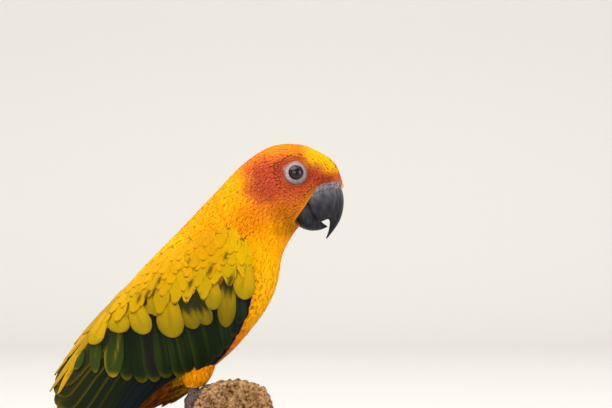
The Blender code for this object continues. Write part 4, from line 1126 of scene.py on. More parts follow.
def buildTail():
    rng = np.random.default_rng(31)
    root, tip = np.array(tail["root"]), np.array(tail["tip"])
    length = np.linalg.norm(tip - root)
    run = (tip - root) / length
    side = np.array((0.0, 1.0, 0.0))
    down = np.cross(side, run)
    down = down if down[2] < 0 else -down
    parts = []
    for pair in range(tail["pairs"]):
        share = pair / (tail["pairs"] - 1)
        reach = length * (1 - (1 - tail["shortest"]) * share)
        for hand in (-1, 1):
            start = root + side * hand * (0.7 + 2.0 * share) + down * (tail["step"] * pair)
            swing = math.radians(0.4 + 2.3 * share) * hand
            end = start + (run * math.cos(swing) + side * math.sin(swing)) * reach
            roof = math.radians(tail["roof"]) * share * hand
            facing = down * math.cos(roof) - side * math.sin(roof)

            def tint(u, v, share=share, hand=hand):
                top = mix(hue["tailTop"], hue["green"], 0.3 + 0.3 * smooth(-0.2, 1, u * hand))
                top = mix(top, hue["oliveYellow"], smooth(0.35, 0.0, v) * 0.6)
                top = mix(top, hue["tailTip"], smooth(0.62, 0.92, v) * 0.85)
                low = mix(hue["black"], hue["oliveYellow"], 0.18 + 0.12 * smooth(0.5, 0, v))
                return top, low

            width = tail["width"] * (1 - 0.12 * share)
            parts.append(flatVane(start, end, width, facing, tail["along"], tail["across"], tint, rng))
    points, quads, paint, barbs, lays = zip(*parts)
    each = len(points[0])
    quads = np.vstack([q + n * each for n, q in enumerate(quads)])
    # the unwrap: four cells by four, each with a feather's top at the left and its underside right
    bakes = []
    for n, barb in enumerate(barbs):
        cell = np.array(((n % 4 + 0.5) / 4, (n // 4 + 0.5) / 4))
        top = barb[:each // 2]
        local = np.stack([top[:, 0] * 0.12, (top[:, 1] / top[:, 1].max() - 0.5) * 0.22], -1)
        bakes += [cell + local - (0.06, 0), cell + local + (0.06, 0)]
    obj = makeMesh("tail_vanes", np.vstack(points), [quads], np.vstack(paint), np.vstack(bakes),
                   np.vstack(barbs), np.vstack(lays))
    obj.data.materials.append(vaneMat)
    outward(obj)
    # coverts over and under the root of the tail
    at, turn = scatter(bodySurface, 11.1, 12.7, evenly(1.7), everywhere, 77, 9000)

    def covertPaint(points, v, u, rng):
        above = smooth(-0.1, 0.5, np.cos(turn))
        upperTone = mix(hue["rump"], hue["oliveYellow"], rng.uniform(0, 0.8, len(at)))
        # below, the vent's painted shade mixed with olive
        base = mix(mix(hue["vent"], hue["oliveYellow"], 0.45), upperTone, above)
        base = base * rng.normal(1, 0.1, (len(at), 1))
        # painted shade: darker towards each feather's covered root
        return base[:, None, :] * (0.75 + 0.27 * v)[None, :, None]

    settings = dict(coat, seed=90, lift=0.6, taper=0.5)
    coverts = layFeathers("coat_tail_coverts", bodySurface, at, turn, 13.0 + 0 * at, 3.4 + 0 * at,
                          covertPaint, bodyUnwrap, settings)
    print("stage: tail,", len(parts), "feathers and", len(at), "coverts")
    return obj, coverts


# bill, cere, lids and eyes
upperRows = np.array([
    (37.5, 98.4, 28.0, 93.0, 7.4), (43.2, 98.5, 29.9, 88.9, 8.5), (45.0, 95.2, 31.5, 84.7, 8.3),
    (45.8, 91.7, 33.9, 80.8, 7.5), (45.8, 88.3, 35.9, 81.1, 6.2), (45.3, 85.2, 38.7, 82.3, 4.7),
    (44.2, 81.9, 39.7, 81.3, 3.4), (42.4, 78.9, 39.6, 79.1, 2.4), (40.6, 76.5, 39.2, 77.0, 1.4),
    (38.6, 74.1, 38.3, 74.4, 0.3),
])
lowerRows = np.array([
    (23.5, 91.5, 19.8, 83.4, 6.2), (29.2, 89.9, 24.3, 81.5, 7.3), (32.2, 88.0, 27.4, 79.0, 6.9),
    (34.5, 85.4, 31.0, 77.7, 5.9), (35.9, 82.6, 33.9, 77.6, 4.6), (36.8, 81.0, 36.2, 78.0, 3.1),
    (38.9, 79.5, 38.8, 79.1, 0.5),
])
# ridge and edge: how round the outer side and how square the cutting side is in section
bill = {"ridge": 2.2, "edge": 5.0, "cereThick": 0.35, "nostril": (40.0, 96.6), "nostrilRadius": 0.75,
        "around": 64, "upperAlong": 90, "lowerAlong": 60, "cereAround": 180, "cereAlong": 44}
# where the horn begins under the cere, from the ridge back to the corner of the mouth
hornEdge = np.array([(44.4, 95.9), (42.1, 95.5), (39.3, 95.0), (36.4, 94.6), (33.8, 93.3), (31.6, 91.0)])


def billSurface(rows, isUpper, at, turn, grow=0.0):
    outer = (np.cos(turn) > 0) == isUpper
    outerSide = hull(rows, bill["ridge"], at, turn, grow)
    cuttingSide = hull(rows, bill["edge"], at, turn, grow)
    return np.where(np.asarray(outer)[..., None], outerSide, cuttingSide)


def capped(name, aa, tt, points, paint):
    # a tube of rings with both ends closed
    rows, columns = aa.shape
    points, paint = points.reshape(-1, 3), paint.reshape(-1, 3)
    faces = [gridFaces(rows, columns, True), endFans(rows, columns, len(points))]
    uv = np.stack([(tt + math.pi) / math.tau, (aa - aa.min()) / (aa.max() - aa.min())], -1).reshape(-1, 2)
    uv = np.vstack([uv, uv[:2]])
    paint = np.vstack([paint, paint[:1], paint[-1:]])
    obj = makeMesh(name, np.vstack([points, endMiddles(points, columns)]), faces, paint, uv)
    outward(obj)
    return obj


def hornPaint(points, ridge):
    # charcoal, with a painted highlight along the ridge, greyer where the growth plates flake near the cere
    flake = 0.5 + 0.5 * wobble(points, 0.8, 51)
    near = np.exp(-np.clip(nearBillEdge(points), 0, 20) / 3.6)
    # the share along the ridge is a painted highlight; the flakes are the horn's own grey
    share = 0.22 * smooth(0.80, 0.99, ridge) + 0.75 * near * (0.35 + 0.5 * flake) + 0.05 * flake
    return mix(hexLinear("0F0E13"), hexLinear("77757E"), share)


def nearBillEdge(points):
    x, z = points[..., 0], points[..., 2]
    return np.interp(x, hornEdge[::-1, 0], hornEdge[::-1, 1]) - z


def buildBill():
    turn = np.linspace(-math.pi, math.pi, bill["around"], endpoint=False)
    made = []
    aa, tt = np.meshgrid(np.linspace(0.05, 9.0, bill["upperAlong"]), turn, indexing="ij")
    points = billSurface(upperRows, True, aa, tt)
    # hollow roof inside the cutting edges, so that the lower half fits in
    row = rowsAt(upperRows, aa)
    inside = np.clip(1 - (np.abs(points[..., 1]) / (row[..., 4] * 0.80)) ** 4, 0, 1) * (np.cos(tt) < -0.2)
    roof = inside * np.interp(aa, (0, 1, 3, 4.5, 6, 9), (4.5, 5.0, 4.2, 2.2, 0.6, 0.0))
    points[..., 0] += roof * 0.45
    points[..., 2] += roof * 0.85
    made.append(capped("bill_upper_horn", aa, tt, points, hornPaint(points, np.cos(tt))))
    aa, tt = np.meshgrid(np.linspace(0.05, 6.0, bill["lowerAlong"]), turn, indexing="ij")
    points = billSurface(lowerRows, False, aa, tt)
    made.append(capped("bill_lower_horn", aa, tt, points, hornPaint(points, 0 * tt)))
    # cere: soft skin over the bill's root, with a nostril each side
    edgeAt, edgeTurn = placed(upperRows, bill["edge"], hornEdge[:, 0], hornEdge[:, 1], 0.0, 3.0)
    spin = np.linspace(-math.pi, math.pi, bill["cereAround"], endpoint=False)
    order = np.argsort(edgeTurn)
    last = np.interp(np.abs(spin), np.append(edgeTurn[order], 2.4), np.append(edgeAt[order], 0.4))
    share = np.linspace(0, 1, bill["cereAlong"])
    aa = 0.12 + (last - 0.12) * share[:, None]
    tt = np.broadcast_to(spin, aa.shape)
    edge = smooth(1.0, 0.9, share)[:, None]
    points = billSurface(upperRows, True, aa, tt, bill["cereThick"] * edge - 0.12 * (1 - edge))
    points = points + 0.06 * wobble(points, 0.9, 52)[..., None] * (0.3, 1.0, 0.6) * edge[..., None]
    hole = np.hypot(points[..., 0] - bill["nostril"][0], points[..., 2] - bill["nostril"][1])
    outside = np.abs(points[..., 1]) > 2
    sink = np.exp(-(hole / bill["nostrilRadius"]) ** 4) * outside
    lip = np.exp(-((hole - 1.1) / 0.35) ** 2) * outside
    points[..., 1] += np.sign(points[..., 1]) * (0.22 * lip - 1.4 * sink)
    points[..., 0] -= 0.4 * sink
    tone = mix(hexLinear("4A3C3D"), hexLinear("8A7B80"), 0.5 + 0.45 * wobble(points, 0.7, 53))
    # painted shade: darker in the nostrils and where the cere tucks under at its edge
    tone = mix(tone, hexLinear("2A2224"), sink * 0.9 + 0.4 * (1 - edge))
    made.append(capped("cere_skin", aa, tt, points, tone))
    return made


# depth: how far the eyeball's middle lies under the skin
eyes = {"radius": 3.9, "depth": 2.45, "ringInner": 3.0, "ringOuter": 5.3, "ballRings": 38,
        "ballAround": 64, "lidAround": 120, "lidRings": 16, "lidDepth": 1.6}


def eyeSeat(side):
    # the eye looks halfway between straight out of the head and straight sideways
    at, turn = placed(bodyRows, bodyRound, 25.5, 102.1, 0.5, 5.0)
    along, around = tangents(lambda a, t: hull(bodyRows, bodyRound, a, t), at, turn)
    out = unit(unit(np.cross(along, around)) + (0, -1, 0))
    skin = hull(bodyRows, bodyRound, at, turn)
    middle = skin - out * eyes["depth"]
    flip = np.array((1.0, -side, 1.0))
    return middle * flip, out * flip, skin * flip


def buildEyeball(word, middle, out):
    # a sphere round the way the eye looks, black in the pupil and brown-black round it
    across = unit(np.cross(out, (0, 0, 1.0)))
    up = np.cross(across, out)
    rings, columns, radius = eyes["ballRings"], eyes["ballAround"], eyes["radius"]
    polar = np.linspace(0, math.pi, rings + 2)[1:-1]
    spin = np.linspace(0, math.tau, columns, endpoint=False)
    pp, ss = np.meshgrid(polar, spin, indexing="ij")
    sideways = np.cos(ss)[..., None] * across + np.sin(ss)[..., None] * up
    local = np.cos(pp)[..., None] * out + np.sin(pp)[..., None] * sideways
    points = (middle + local * radius).reshape(-1, 3)
    faces = [gridFaces(rings, columns, True), endFans(rings, columns, len(points))]
    points = np.vstack([points, middle + out * radius, middle - out * radius])
    ring = np.concatenate([pp.ravel(), [0, math.pi]])
    tone = mix(hexLinear("050508"), hexLinear("1F181C"), smooth(0.42, 0.48, ring) * smooth(1.0, 0.7, ring))
    uv = np.stack([np.cos(points @ across), points[:, 2] * 0.01], -1)
    ball = makeMesh("eyeball_" + word, points, faces, tone, uv)
    outward(ball)
    return ball


def hill(angle, middle, half):
    # 1 at one angle round the ring, falling off on both sides
    return np.exp(-((np.angle(np.exp(1j * (angle - middle)))) / half) ** 2)


def buildLid(word, side, skin):
    # bare ring: the lid's rim and folded skin out to the feathers
    columns = eyes["lidAround"]
    spin = np.linspace(0, math.tau, columns, endpoint=False)
    sh, sp = np.meshgrid(np.linspace(0, 1, eyes["lidRings"]), spin, indexing="ij")
    # angles are seen from the right side: forward is 0, up is a quarter turn
    outer = eyes["ringOuter"] + 0.95 * hill(sp, 2.75, 0.30) + 0.25 * hill(sp, -1.0, 0.7)
    radius = eyes["ringInner"] + (outer - eyes["ringInner"]) * sh
    x = skin[0] + np.cos(sp) * radius
    z = skin[2] + np.sin(sp) * radius
    at, turn = placed(bodyRows, bodyRound, x, z, 0.3, 5.4)
    rim = np.exp(-((sh - 0.07) / 0.10) ** 2) * 0.55
    wrinkle = np.sin(sh * 22 + 0.5 * np.sin(sp * 7))
    folds = 0.10 * wrinkle * smooth(0.1, 0.3, sh) * smooth(1.0, 0.7, sh)
    folds = folds + 0.06 * np.sin(sp * 41 + sh * 6)
    height = 0.35 + rim + folds - 1.3 * smooth(0.78, 1.0, sh) - 0.7 * smooth(0.03, 0.0, sh)
    # a deeper ring closes it behind
    back = bodySurface(at, turn, -eyes["lidDepth"])
    rings = np.concatenate([bodySurface(at, turn, height), back[::-1]], 0)
    rings[..., 1] *= -side
    count = len(rings)
    loop = np.arange(columns)
    after = np.roll(loop, -1)
    last = (count - 1) * columns
    closing = np.stack([loop + last, loop, after, after + last], -1)
    faces = np.vstack([gridFaces(count, columns, True), closing])
    uv = np.stack([np.tile(spin / math.tau, count), np.repeat(np.linspace(0, 1, count), columns)], -1)
    bands = mix(hexLinear("A08886"), hexLinear("7E5852"), smooth(0.25, 0.75, sh + 0.06 * np.sin(sp * 3)))
    # painted light: brighter towards the ring's upper back, darker below and in front
    bands = bands * (0.9 + 0.22 * np.cos(sp - 2.2))[..., None]
    bands = mix(bands, hexLinear("2E2022"), smooth(0.09, 0.0, sh) * 0.9)
    # painted light and shade on the folds: lighter on their crests, darker in their troughs
    bands = bands * (1 + 0.10 * wrinkle)[..., None]
    tone = np.concatenate([bands, bands[::-1]], 0)
    lid = makeMesh("lid_" + word, rings.reshape(-1, 3), [faces], tone.reshape(-1, 3), uv)
    outward(lid)
    return lid


def buildEyes():
    made = []
    for side, word in ((-1, "right"), (1, "left")):
        middle, out, skin = eyeSeat(side)
        made += [buildEyeball(word, middle, out), buildLid(word, side, skin)]
    return made


# feet
perchRows = np.array([
    # y, x, z, radius
    (-50.0, 0.5, 0.3, 15.6), (-48.0, 0.3, 0.2, 17.0), (-40.0, 0.0, 0.0, 17.4), (-31.0, -1.2, -1.2, 16.3),
    (-22.0, -3.2, -3.0, 14.6), (-13.0, -4.2, -3.7, 14.0), (0.0, -5.6, -5.2, 13.8), (13.0, -6.6, -6.6, 13.6),
    (28.0, -7.8, -8.2, 13.9), (42.0, -8.8, -9.8, 14.4), (54.0, -9.6, -11.0, 14.0), (56.0, -9.8, -11.2, 12.8),
])
# toes: how far round the branch, how far aside and how thick each is; angles are in degrees
feet = {"middle": 13.0, "angle": {"right": 146.0, "left": 141.0}, "clear": 0.35, "pad": 2.7, "toe": 2.0,
        "toes": [(-46.0, -6.0, 0.92), (-68.0, 3.2, 1.0), (34.0, -5.0, 0.88), (56.0, 5.5, 1.0)],
        "clawTurn": 22.0, "claw": 1.05, "scutes": 9, "around": 24, "shankRings": 26, "padRings": 18,
        "toeRings": 46, "clawRings": 22, "clawAround": 16}


def perchLine(y):
    # the branch's middle and radius
    return (np.interp(y, perchRows[:, 0], perchRows[:, i]) for i in (1, 2, 3))


def perchPoint(y, turn, over):
    y, turn, over = np.broadcast_arrays(np.asarray(y, float), turn, over)
    x, z, radius = perchLine(y)
    waves = 0.025 * np.sin(3 * turn + 0.6 + y / 40) + 0.018 * np.sin(5 * turn + 2.1 - y / 25)
    reach = radius * (1 + waves) + over
    return np.stack([x + reach * np.cos(turn), y, z + reach * np.sin(turn)], -1)


def tube(line, radii, around):
    # rings square to a smooth line, in rows; radii has a row for each ring
    line = np.asarray(line, float)
    ahead = unit(np.gradient(line, axis=0))
    across = unit(np.cross(ahead, (0.0, 1.0, 0.0)))
    up = np.cross(across, ahead)
    spin = np.linspace(0, math.tau, around, endpoint=False)
    ring = across[:, None, :] * np.cos(spin)[None, :, None] + up[:, None, :] * np.sin(spin)[None, :, None]
    return line[:, None, :] + ring * radii[..., None]


def shankTube(ankle, pad):
    # the bare leg from the thigh down to the foot, ringed by scales
    path = [ankle, (ankle * 0.5 + pad * 0.5) + (0.2, 0, 0), pad + (0.1, 0, -0.3)]
    share = np.linspace(0, 1, feet["shankRings"])
    spin = np.linspace(0, math.tau, feet["around"], endpoint=False)
    rings = np.abs(np.sin(share[:, None] * 15 + 0.6 * np.sin(spin)[None, :] * 2))
    scale = 0.09 * rings * (1 - 0.3 * share[:, None])
    radii = np.interp(share, (0, 0.5, 1), (2.15, 1.9, 2.4))[:, None] * (1 + scale)
    return tube(alongCurve(path, feet["shankRings"]), radii, feet["around"])


def padBall(pad):
    # the ball of the foot
    polar = np.linspace(0.12, math.pi - 0.12, feet["padRings"])
    spin = np.linspace(0, math.tau, feet["around"], endpoint=False)
    pp, ss = np.meshgrid(polar, spin, indexing="ij")
    knob = np.stack([np.sin(pp) * np.cos(ss), np.cos(pp) * 1.05, np.sin(pp) * np.sin(ss)], -1) * feet["pad"]
    return pad + knob * (1 + 0.03 * np.sin(ss * 7)[..., None] * np.sin(pp * 9)[..., None])


def toeTube(y, side, angle, turn, aside, size):
    # a toe round the branch, knuckled, with scutes that overlap like tiles
    line, radii = [], []
    for share in np.linspace(0, 1, feet["toeRings"]):
        knuckle = 1 + 0.10 * math.cos(share * math.tau * 2.5)
        radius = feet["toe"] * size * (1 - 0.28 * share) * knuckle
        at = angle + math.radians(turn) * (0.04 + 0.96 * share)
        line.append(perchPoint(y + side * aside * share**0.8, at, feet["clear"] + radius))
        scute = (share * feet["scutes"]) % 1.0
        radii.append(radius * min(1.0, (1.02 - share) * 9) * (1 + 0.07 * scute))
    return tube(line, np.array(radii)[:, None], feet["around"])


def clawTube(y, side, angle, turn, aside):
    line, radii = [], []
    for share in np.linspace(0, 1, feet["clawRings"]):
        at = angle + math.radians(turn + math.copysign(feet["clawTurn"] * share * 1.06 - 2.0, turn))
        radius = feet["claw"] * (1 - 0.84 * share**1.1)
        rise = 1.0 * math.cos(share * math.pi / 2) + 0.2
        line.append(perchPoint(y + side * aside, at, feet["clear"] + radius + rise))
        radii.append(radius)
    return tube(line, np.array(radii)[:, None], feet["clawAround"])


def buildFeet():
    made = []
    for side, word in ((-1, "right"), (1, "left")):
        y = side * feet["middle"]
        angle = math.radians(feet["angle"][word])
        pad = perchPoint(y, angle, feet["clear"] + feet["pad"])
        ankle = np.array((thighRows[-1, 0], side * thighRows[-1, 2], thighRows[-1, 1] + 0.6))
        toes = [toeTube(y, side, angle, *toe) for toe in feet["toes"]]
        claws = [clawTube(y, side, angle, turn, aside) for turn, aside, size in feet["toes"]]
        made.append(stackTubes("foot_skin_" + word, [shankTube(ankle, pad), padBall(pad)] + toes))
        made.append(stackTubes("claws_" + word, claws))
    return made


def stackTubes(name, parts):
    # closed tubes in one mesh, each with a strip of the unwrap
    points, quads, tris, uvs, start = [], [], [], [], 0
    for n, part in enumerate(parts):
        rows, columns = part.shape[:2]
        flat = part.reshape(-1, 3)
        quads.append(gridFaces(rows, columns, True, start))
        tris.append(endFans(rows, columns, start + len(flat), start))
        strip = np.linspace(0, 0.9 / len(parts), rows) + n / len(parts)
        uv = np.stack(np.meshgrid(strip, np.linspace(0, 1, columns), indexing="ij"), -1).reshape(-1, 2)
        points.append(np.vstack([flat, endMiddles(flat, columns)]))
        uvs.append(np.vstack([uv, uv[:2]]))
        start += len(flat) + 2
    obj = makeMesh(name, np.vstack(points), [np.vstack(quads), np.vstack(tris)], None, np.vstack(uvs))
    outward(obj)
    return obj


# perch
# how far grain, lumps and cracks stand out, and how many rings each broken end has
perch = {"along": 220, "around": 160, "coarseGrain": 0.35, "fineGrain": 0.22, "lumps": 0.6, "cracks": 0.8,
         "inset": 0.4, "endRings": 34, "splitSlant": -38.0}


def buildPerch():
    y = np.concatenate([np.linspace(-50.0, -47.5, 10), np.linspace(-47.2, 55.0, perch["along"]),
                        np.linspace(55.2, 56.0, 5)])
    spin = np.linspace(0, math.tau, perch["around"], endpoint=False)
    yy, ss = np.meshgrid(y, spin, indexing="ij")

    def fibres(stretch, girth, size, seed):
        # noise drawn out along the branch
        return wobble(np.stack([yy / stretch, np.cos(ss) * girth, np.sin(ss) * girth], -1), size, seed)

    grain = perch["coarseGrain"] * fibres(4.0, 14, 1.3, 8)
    grain = grain + perch["fineGrain"] * fibres(2.5, 14, 0.9, 7)
    lumps = perch["lumps"] * wobble(perchPoint(yy, ss, 0.0), 4.0, 9)
    cracks = -perch["cracks"] * smooth(0.80, 0.97, np.cos(fibres(5.0, 12, 2.6, 10) * 9))
    points = perchPoint(yy, ss, grain + lumps + cracks - perch["inset"])
    rows, columns = yy.shape
    flat = points.reshape(-1, 3)
    pieces, quads, caps, start = [flat], [gridFaces(rows, columns, True)], [], len(flat)
    # broken ends: rings of points to the pith, rough, split along one slant
    slant = math.radians(perch["splitSlant"])
    splitWay = np.array([(math.cos(slant) * 0.25, -math.sin(slant)), (0, 0),
                         (math.sin(slant) * 0.25, math.cos(slant))])
    for ring, sign in ((0, -1), (rows - 1, 1)):
        edge = points[ring]
        centre = edge.mean(0)
        outer = ring * columns + np.arange(columns)
        for share in np.linspace(0.98, 0.03, perch["endRings"]):
            loop = centre + (edge - centre) * share
            split = wobble(loop @ splitWay, 1.6, 13)
            rough = 0.9 * wobble(loop, 3.0, 12) + 0.5 * wobble(loop, 0.9, 14) - 0.9 * smooth(0.5, 1.0, split)
            loop[:, 1] += sign * (0.4 * (1 - share) ** 0.5 + rough * (1 - share**8))
            inner = start + np.arange(columns)
            faces = np.stack([outer, np.roll(outer, -1), np.roll(inner, -1), inner], -1)
            quads.append(faces if sign < 0 else faces[:, [1, 0, 3, 2]])
            pieces.append(loop)
            outer = inner
            start += columns
        pieces.append(centre[None] + (0, sign * 0.5, 0))
        fan = np.stack([outer, np.roll(outer, -1), np.full(columns, start)], -1)
        caps.append(fan if sign < 0 else fan[:, [1, 0, 2]])
        start += 1
    points = np.vstack(pieces)
    uv = np.stack([np.arctan2(points[:, 2], points[:, 0]) / math.tau + 0.5, (points[:, 1] + 52) / 112], -1)
    obj = makeMesh("branch", points, [np.vstack(quads), np.vstack(caps)], None, uv)
    outward(obj)
    return obj


# stand
# rod: its radius; places: where the rods stand across the base; seat and bite: how far a rod goes
# into the base and into the branch
stand = {"size": (150.0, 104.0, 12.0), "corner": 3.2, "squareness": 2.6, "around": 160, "rod": 3.0,
         "rodAround": 40, "places": (-27.0, 30.0), "seat": 6.0, "bite": 8.0}


def buildStand():
    length, width, thick = stand["size"]
    floor = -birdShift[2]
    corner, around = stand["corner"], stand["around"]
    spin = np.linspace(0, math.tau, around, endpoint=False)
    c, s = np.cos(spin), np.sin(spin)
    shapeX = np.sign(c) * np.abs(c) ** (2 / stand["squareness"])
    shapeY = np.sign(s) * np.abs(s) ** (2 / stand["squareness"])
    # height and inset of each ring: the underside, a small lower chamfer, the round upper edge, the top
    rim = [(0.0, 40.0), (0.0, 20.0), (0.0, 1.0), (0.3, 0.45), (0.8, 0.1), (1.4, 0.0)]
    for a in np.linspace(0, math.pi / 2, 12):
        rim.append((thick - corner + corner * math.sin(a), corner * (1 - math.cos(a))))
    rim += [(thick, 12.0), (thick, 25.0), (thick, 40.0)]
    rings = []
    for height, inset in rim:
        x = -birdShift[0] + (length / 2 - inset) * shapeX
        rings.append(np.stack([x, (width / 2 - inset) * shapeY, np.full(around, floor + height)], -1))
    base = stackTubes("stand_base_wood", [np.array(rings)])
    rods = []
    spin = np.linspace(0, math.tau, stand["rodAround"], endpoint=False)
    for y in stand["places"]:
        x, z, radius = perchLine(y)
        heights = np.linspace(thick - stand["seat"] - birdShift[2], z - radius + stand["bite"], 12)
        circle = np.stack([x + stand["rod"] * np.cos(spin), y + stand["rod"] * np.sin(spin), 0 * spin], -1)
        rings = [circle + (0, 0, h) for h in heights]
        rods.append(stackTubes("stand_rod_" + ("front" if y < 0 else "rear"), [np.array(rings)]))
    return base, rods


# materials for the hard pieces; a pattern's scale counts its waves in a metre, so that 900 is a
# grain of about 1.1 mm and 260 one of about 4 mm
# bill horn: keratin worn to a satin, charcoal with greyer plates from the paint attribute
hornMat, tree, shader = newMaterial("billHorn", "232228", 0.5)
place = addNode(tree, "ShaderNodeTexCoord")
flow = addNode(tree, "ShaderNodeMapping", {"Scale": (900.0, 900.0, 260.0)},
               {"Vector": place.outputs["Object"]})
cloud = addNode(tree, "ShaderNodeTexNoise", {"Scale": 1.0, "Detail": 4.0, "Roughness": 0.65},
                {"Vector": flow.outputs[0]})
paintedBase(tree, shader, cloud.outputs[0], 0.6, 1.4)
bump = addNode(tree, "ShaderNodeBump", {"Strength": 0.4, "Distance": 0.0002}, {"Height": cloud.outputs[0]})
tree.links.new(bump.outputs[0], shader.inputs["Normal"])
shader.inputs["Specular IOR Level"].default_value = 0.15

# cere and lids: bare skin, pinkish grey from the paint attribute, with pores of half a millimetre
skinBareMat, tree, shader = newMaterial("bareSkin", "A08F8D", 0.7)
place = addNode(tree, "ShaderNodeTexCoord")
cells = addNode(tree, "ShaderNodeTexVoronoi", {"Scale": 1800.0}, {"Vector": place.outputs["Object"]})
cloud = addNode(tree, "ShaderNodeTexNoise", {"Scale": 900.0, "Detail": 3.0},
                {"Vector": place.outputs["Object"]})
paintedBase(tree, shader, cloud.outputs[0], 0.75, 1.15)
bump = addNode(tree, "ShaderNodeBump", {"Strength": 0.3, "Distance": 0.00015}, {"Height": cells.outputs[0]})
tree.links.new(bump.outputs[0], shader.inputs["Normal"])
shader.inputs["Specular IOR Level"].default_value = 0.2

# wet eye: clear cornea over a near-black iris
eyeMat, tree, shader = newMaterial("wetEye", "0A0A0C", 0.06)
paint = addNode(tree, "ShaderNodeAttribute", {"attribute_name": "paint"})
tree.links.new(paint.outputs["Color"], shader.inputs["Base Color"])
shader.inputs["Specular IOR Level"].default_value = 0.3

# foot skin: dry grey-brown leather with scales of about 0.8 mm
footMat, tree, shader = newMaterial("scaledFoot", "5A4A42", 0.6)
place = addNode(tree, "ShaderNodeTexCoord")
cells = addNode(tree, "ShaderNodeTexVoronoi", {"Scale": 1300.0, "Randomness": 0.8},
                {"Vector": place.outputs["Object"]})
ramp = addNode(tree, "ShaderNodeValToRGB", {}, {0: cells.outputs[0]})
stops = ramp.color_ramp.elements
stops[0].color, stops[1].color = (*hexLinear("7E6656"), 1), (*hexLinear("30211A"), 1)
stops[1].position = 0.7
tree.links.new(ramp.outputs[0], shader.inputs["Base Color"])
bump = addNode(tree, "ShaderNodeBump", {"Strength": 0.6, "Distance": 0.0003, "invert": True},
               {"Height": cells.outputs[0]})
tree.links.new(bump.outputs[0], shader.inputs["Normal"])

# claws: the same keratin as the bill, smoother
clawMat, tree, shader = newMaterial("clawHorn", "1C1918", 0.38)

# weathered branch: bark worn off, rough fibrous wood, brown stains, pale flakes and dark pits
woodMat, tree, shader = newMaterial("weatheredWood", "A5794C", 0.9)
place = addNode(tree, "ShaderNodeTexCoord")
fibreWay = addNode(tree, "ShaderNodeMapping", {"Scale": (900.0, 260.0, 900.0)},
                   {"Vector": place.outputs["Object"]})
fibre = addNode(tree, "ShaderNodeTexNoise", {"Scale": 1.0, "Detail": 5.0, "Roughness": 0.7},
                {"Vector": fibreWay.outputs[0]})
stain = addNode(tree, "ShaderNodeTexNoise",
                {"Scale": 210.0, "Detail": 6.0, "Roughness": 0.72, "Distortion": 0.4},
                {"Vector": place.outputs["Object"]})
stainShare = addNode(tree, "ShaderNodeMath", {"operation": "MULTIPLY", 1: 0.45}, {0: stain.outputs[0]})
both = addNode(tree, "ShaderNodeMath", {"operation": "MULTIPLY_ADD", 1: 0.55},
               {0: fibre.outputs[0], 2: stainShare.outputs[0]})
ramp = addNode(tree, "ShaderNodeValToRGB", {}, {0: both.outputs[0]})
stops = ramp.color_ramp.elements
stops[0].position, stops[1].position = 0.39, 0.61
stops[0].color, stops[1].color = (*hexLinear("24150C"), 1), (*hexLinear("B08E66"), 1)
for position, shade in ((0.45, "5A3C24"), (0.50, "84603C"), (0.55, "9A744A")):
    stops.new(position).color = (*hexLinear(shade), 1)
tree.links.new(ramp.outputs[0], shader.inputs["Base Color"])
bump = addNode(tree, "ShaderNodeBump", {"Strength": 0.8, "Distance": 0.0008}, {"Height": both.outputs[0]})
tree.links.new(bump.outputs[0], shader.inputs["Normal"])
shader.inputs["Specular IOR Level"].default_value = 0.15

# stand base: walnut under satin lacquer, its figure long and low
standMat, tree, shader = newMaterial("satinWalnut", "3A261A", 0.38)
place = addNode(tree, "ShaderNodeTexCoord")
figureWay = addNode(tree, "ShaderNodeMapping", {"Scale": (25.0, 260.0, 260.0)},
                    {"Vector": place.outputs["Object"]})
figure = addNode(tree, "ShaderNodeTexNoise", {"Scale": 1.0, "Detail": 5.0, "Distortion": 0.6},
                 {"Vector": figureWay.outputs[0]})
ramp = addNode(tree, "ShaderNodeValToRGB", {}, {0: figure.outputs[0]})
stops = ramp.color_ramp.elements
stops[0].position, stops[1].position = 0.3, 0.7
stops[0].color, stops[1].color = (*hexLinear("24150D"), 1), (*hexLinear("5A3B26"), 1)
tree.links.new(ramp.outputs[0], shader.inputs["Base Color"])
shader.inputs["Coat Weight"].default_value = 0.3
shader.inputs["Coat Roughness"].default_value = 0.2

# rods: brushed steel
steelMat, tree, shader = newMaterial("brushedSteel", "8C8C8E", 0.32)
shader.inputs["Metallic"].default_value = 1.0

# build, hang and name
root = "root"


def hang(piece, material, nodes):
    # every piece rides on the one body; material is None where the piece has its own
    if material is not None:
        piece.data.materials.clear()
        piece.data.materials.append(material)
    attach(piece, root)
    if nodes:
        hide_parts(*nodes)


skin = buildSkin()
hang(skin, featherMat, ["head", "neck", "torso", "thigh_right", "thigh_left"])
print("stage: skin")
for piece in buildCoat():
    hang(piece, featherMat, [])
wingPieces = buildWings()
for number, piece in enumerate(wingPieces):
    hang(piece, None, ["wing_right" if number < 3 else "wing_left"])
tailVanes, tailCoverts = buildTail()
hang(tailVanes, vaneMat, ["tail"])
hang(tailCoverts, featherMat, ["tail"])
upper, lower, cere = buildBill()
hang(upper, hornMat, ["bill_upper"])
hang(lower, hornMat, ["bill_lower"])
hang(cere, skinBareMat, ["head"])
print("stage: bill and cere")
ballRight, lidRight, ballLeft, lidLeft = buildEyes()
hang(ballRight, eyeMat, ["eye_right"])
hang(ballLeft, eyeMat, ["eye_left"])
for piece in (lidRight, lidLeft):
    hang(piece, skinBareMat, ["head"])
print("stage: eyes and lids")
footRight, clawsRight, footLeft, clawsLeft = buildFeet()
for piece, material, node in ((footRight, footMat, "foot_right"), (clawsRight, clawMat, "foot_right"),
                              (footLeft, footMat, "foot_left"), (clawsLeft, clawMat, "foot_left")):
    hang(piece, material, [node])
print("stage: feet")
hang(buildPerch(), woodMat, ["perch"])
baseWood, rods = buildStand()
hang(baseWood, standMat, ["stand_base"])
for piece, node in zip(rods, ("stand_rod_near", "stand_rod_far")):
    hang(piece, steelMat, [node])
print("stage: perch and stand")

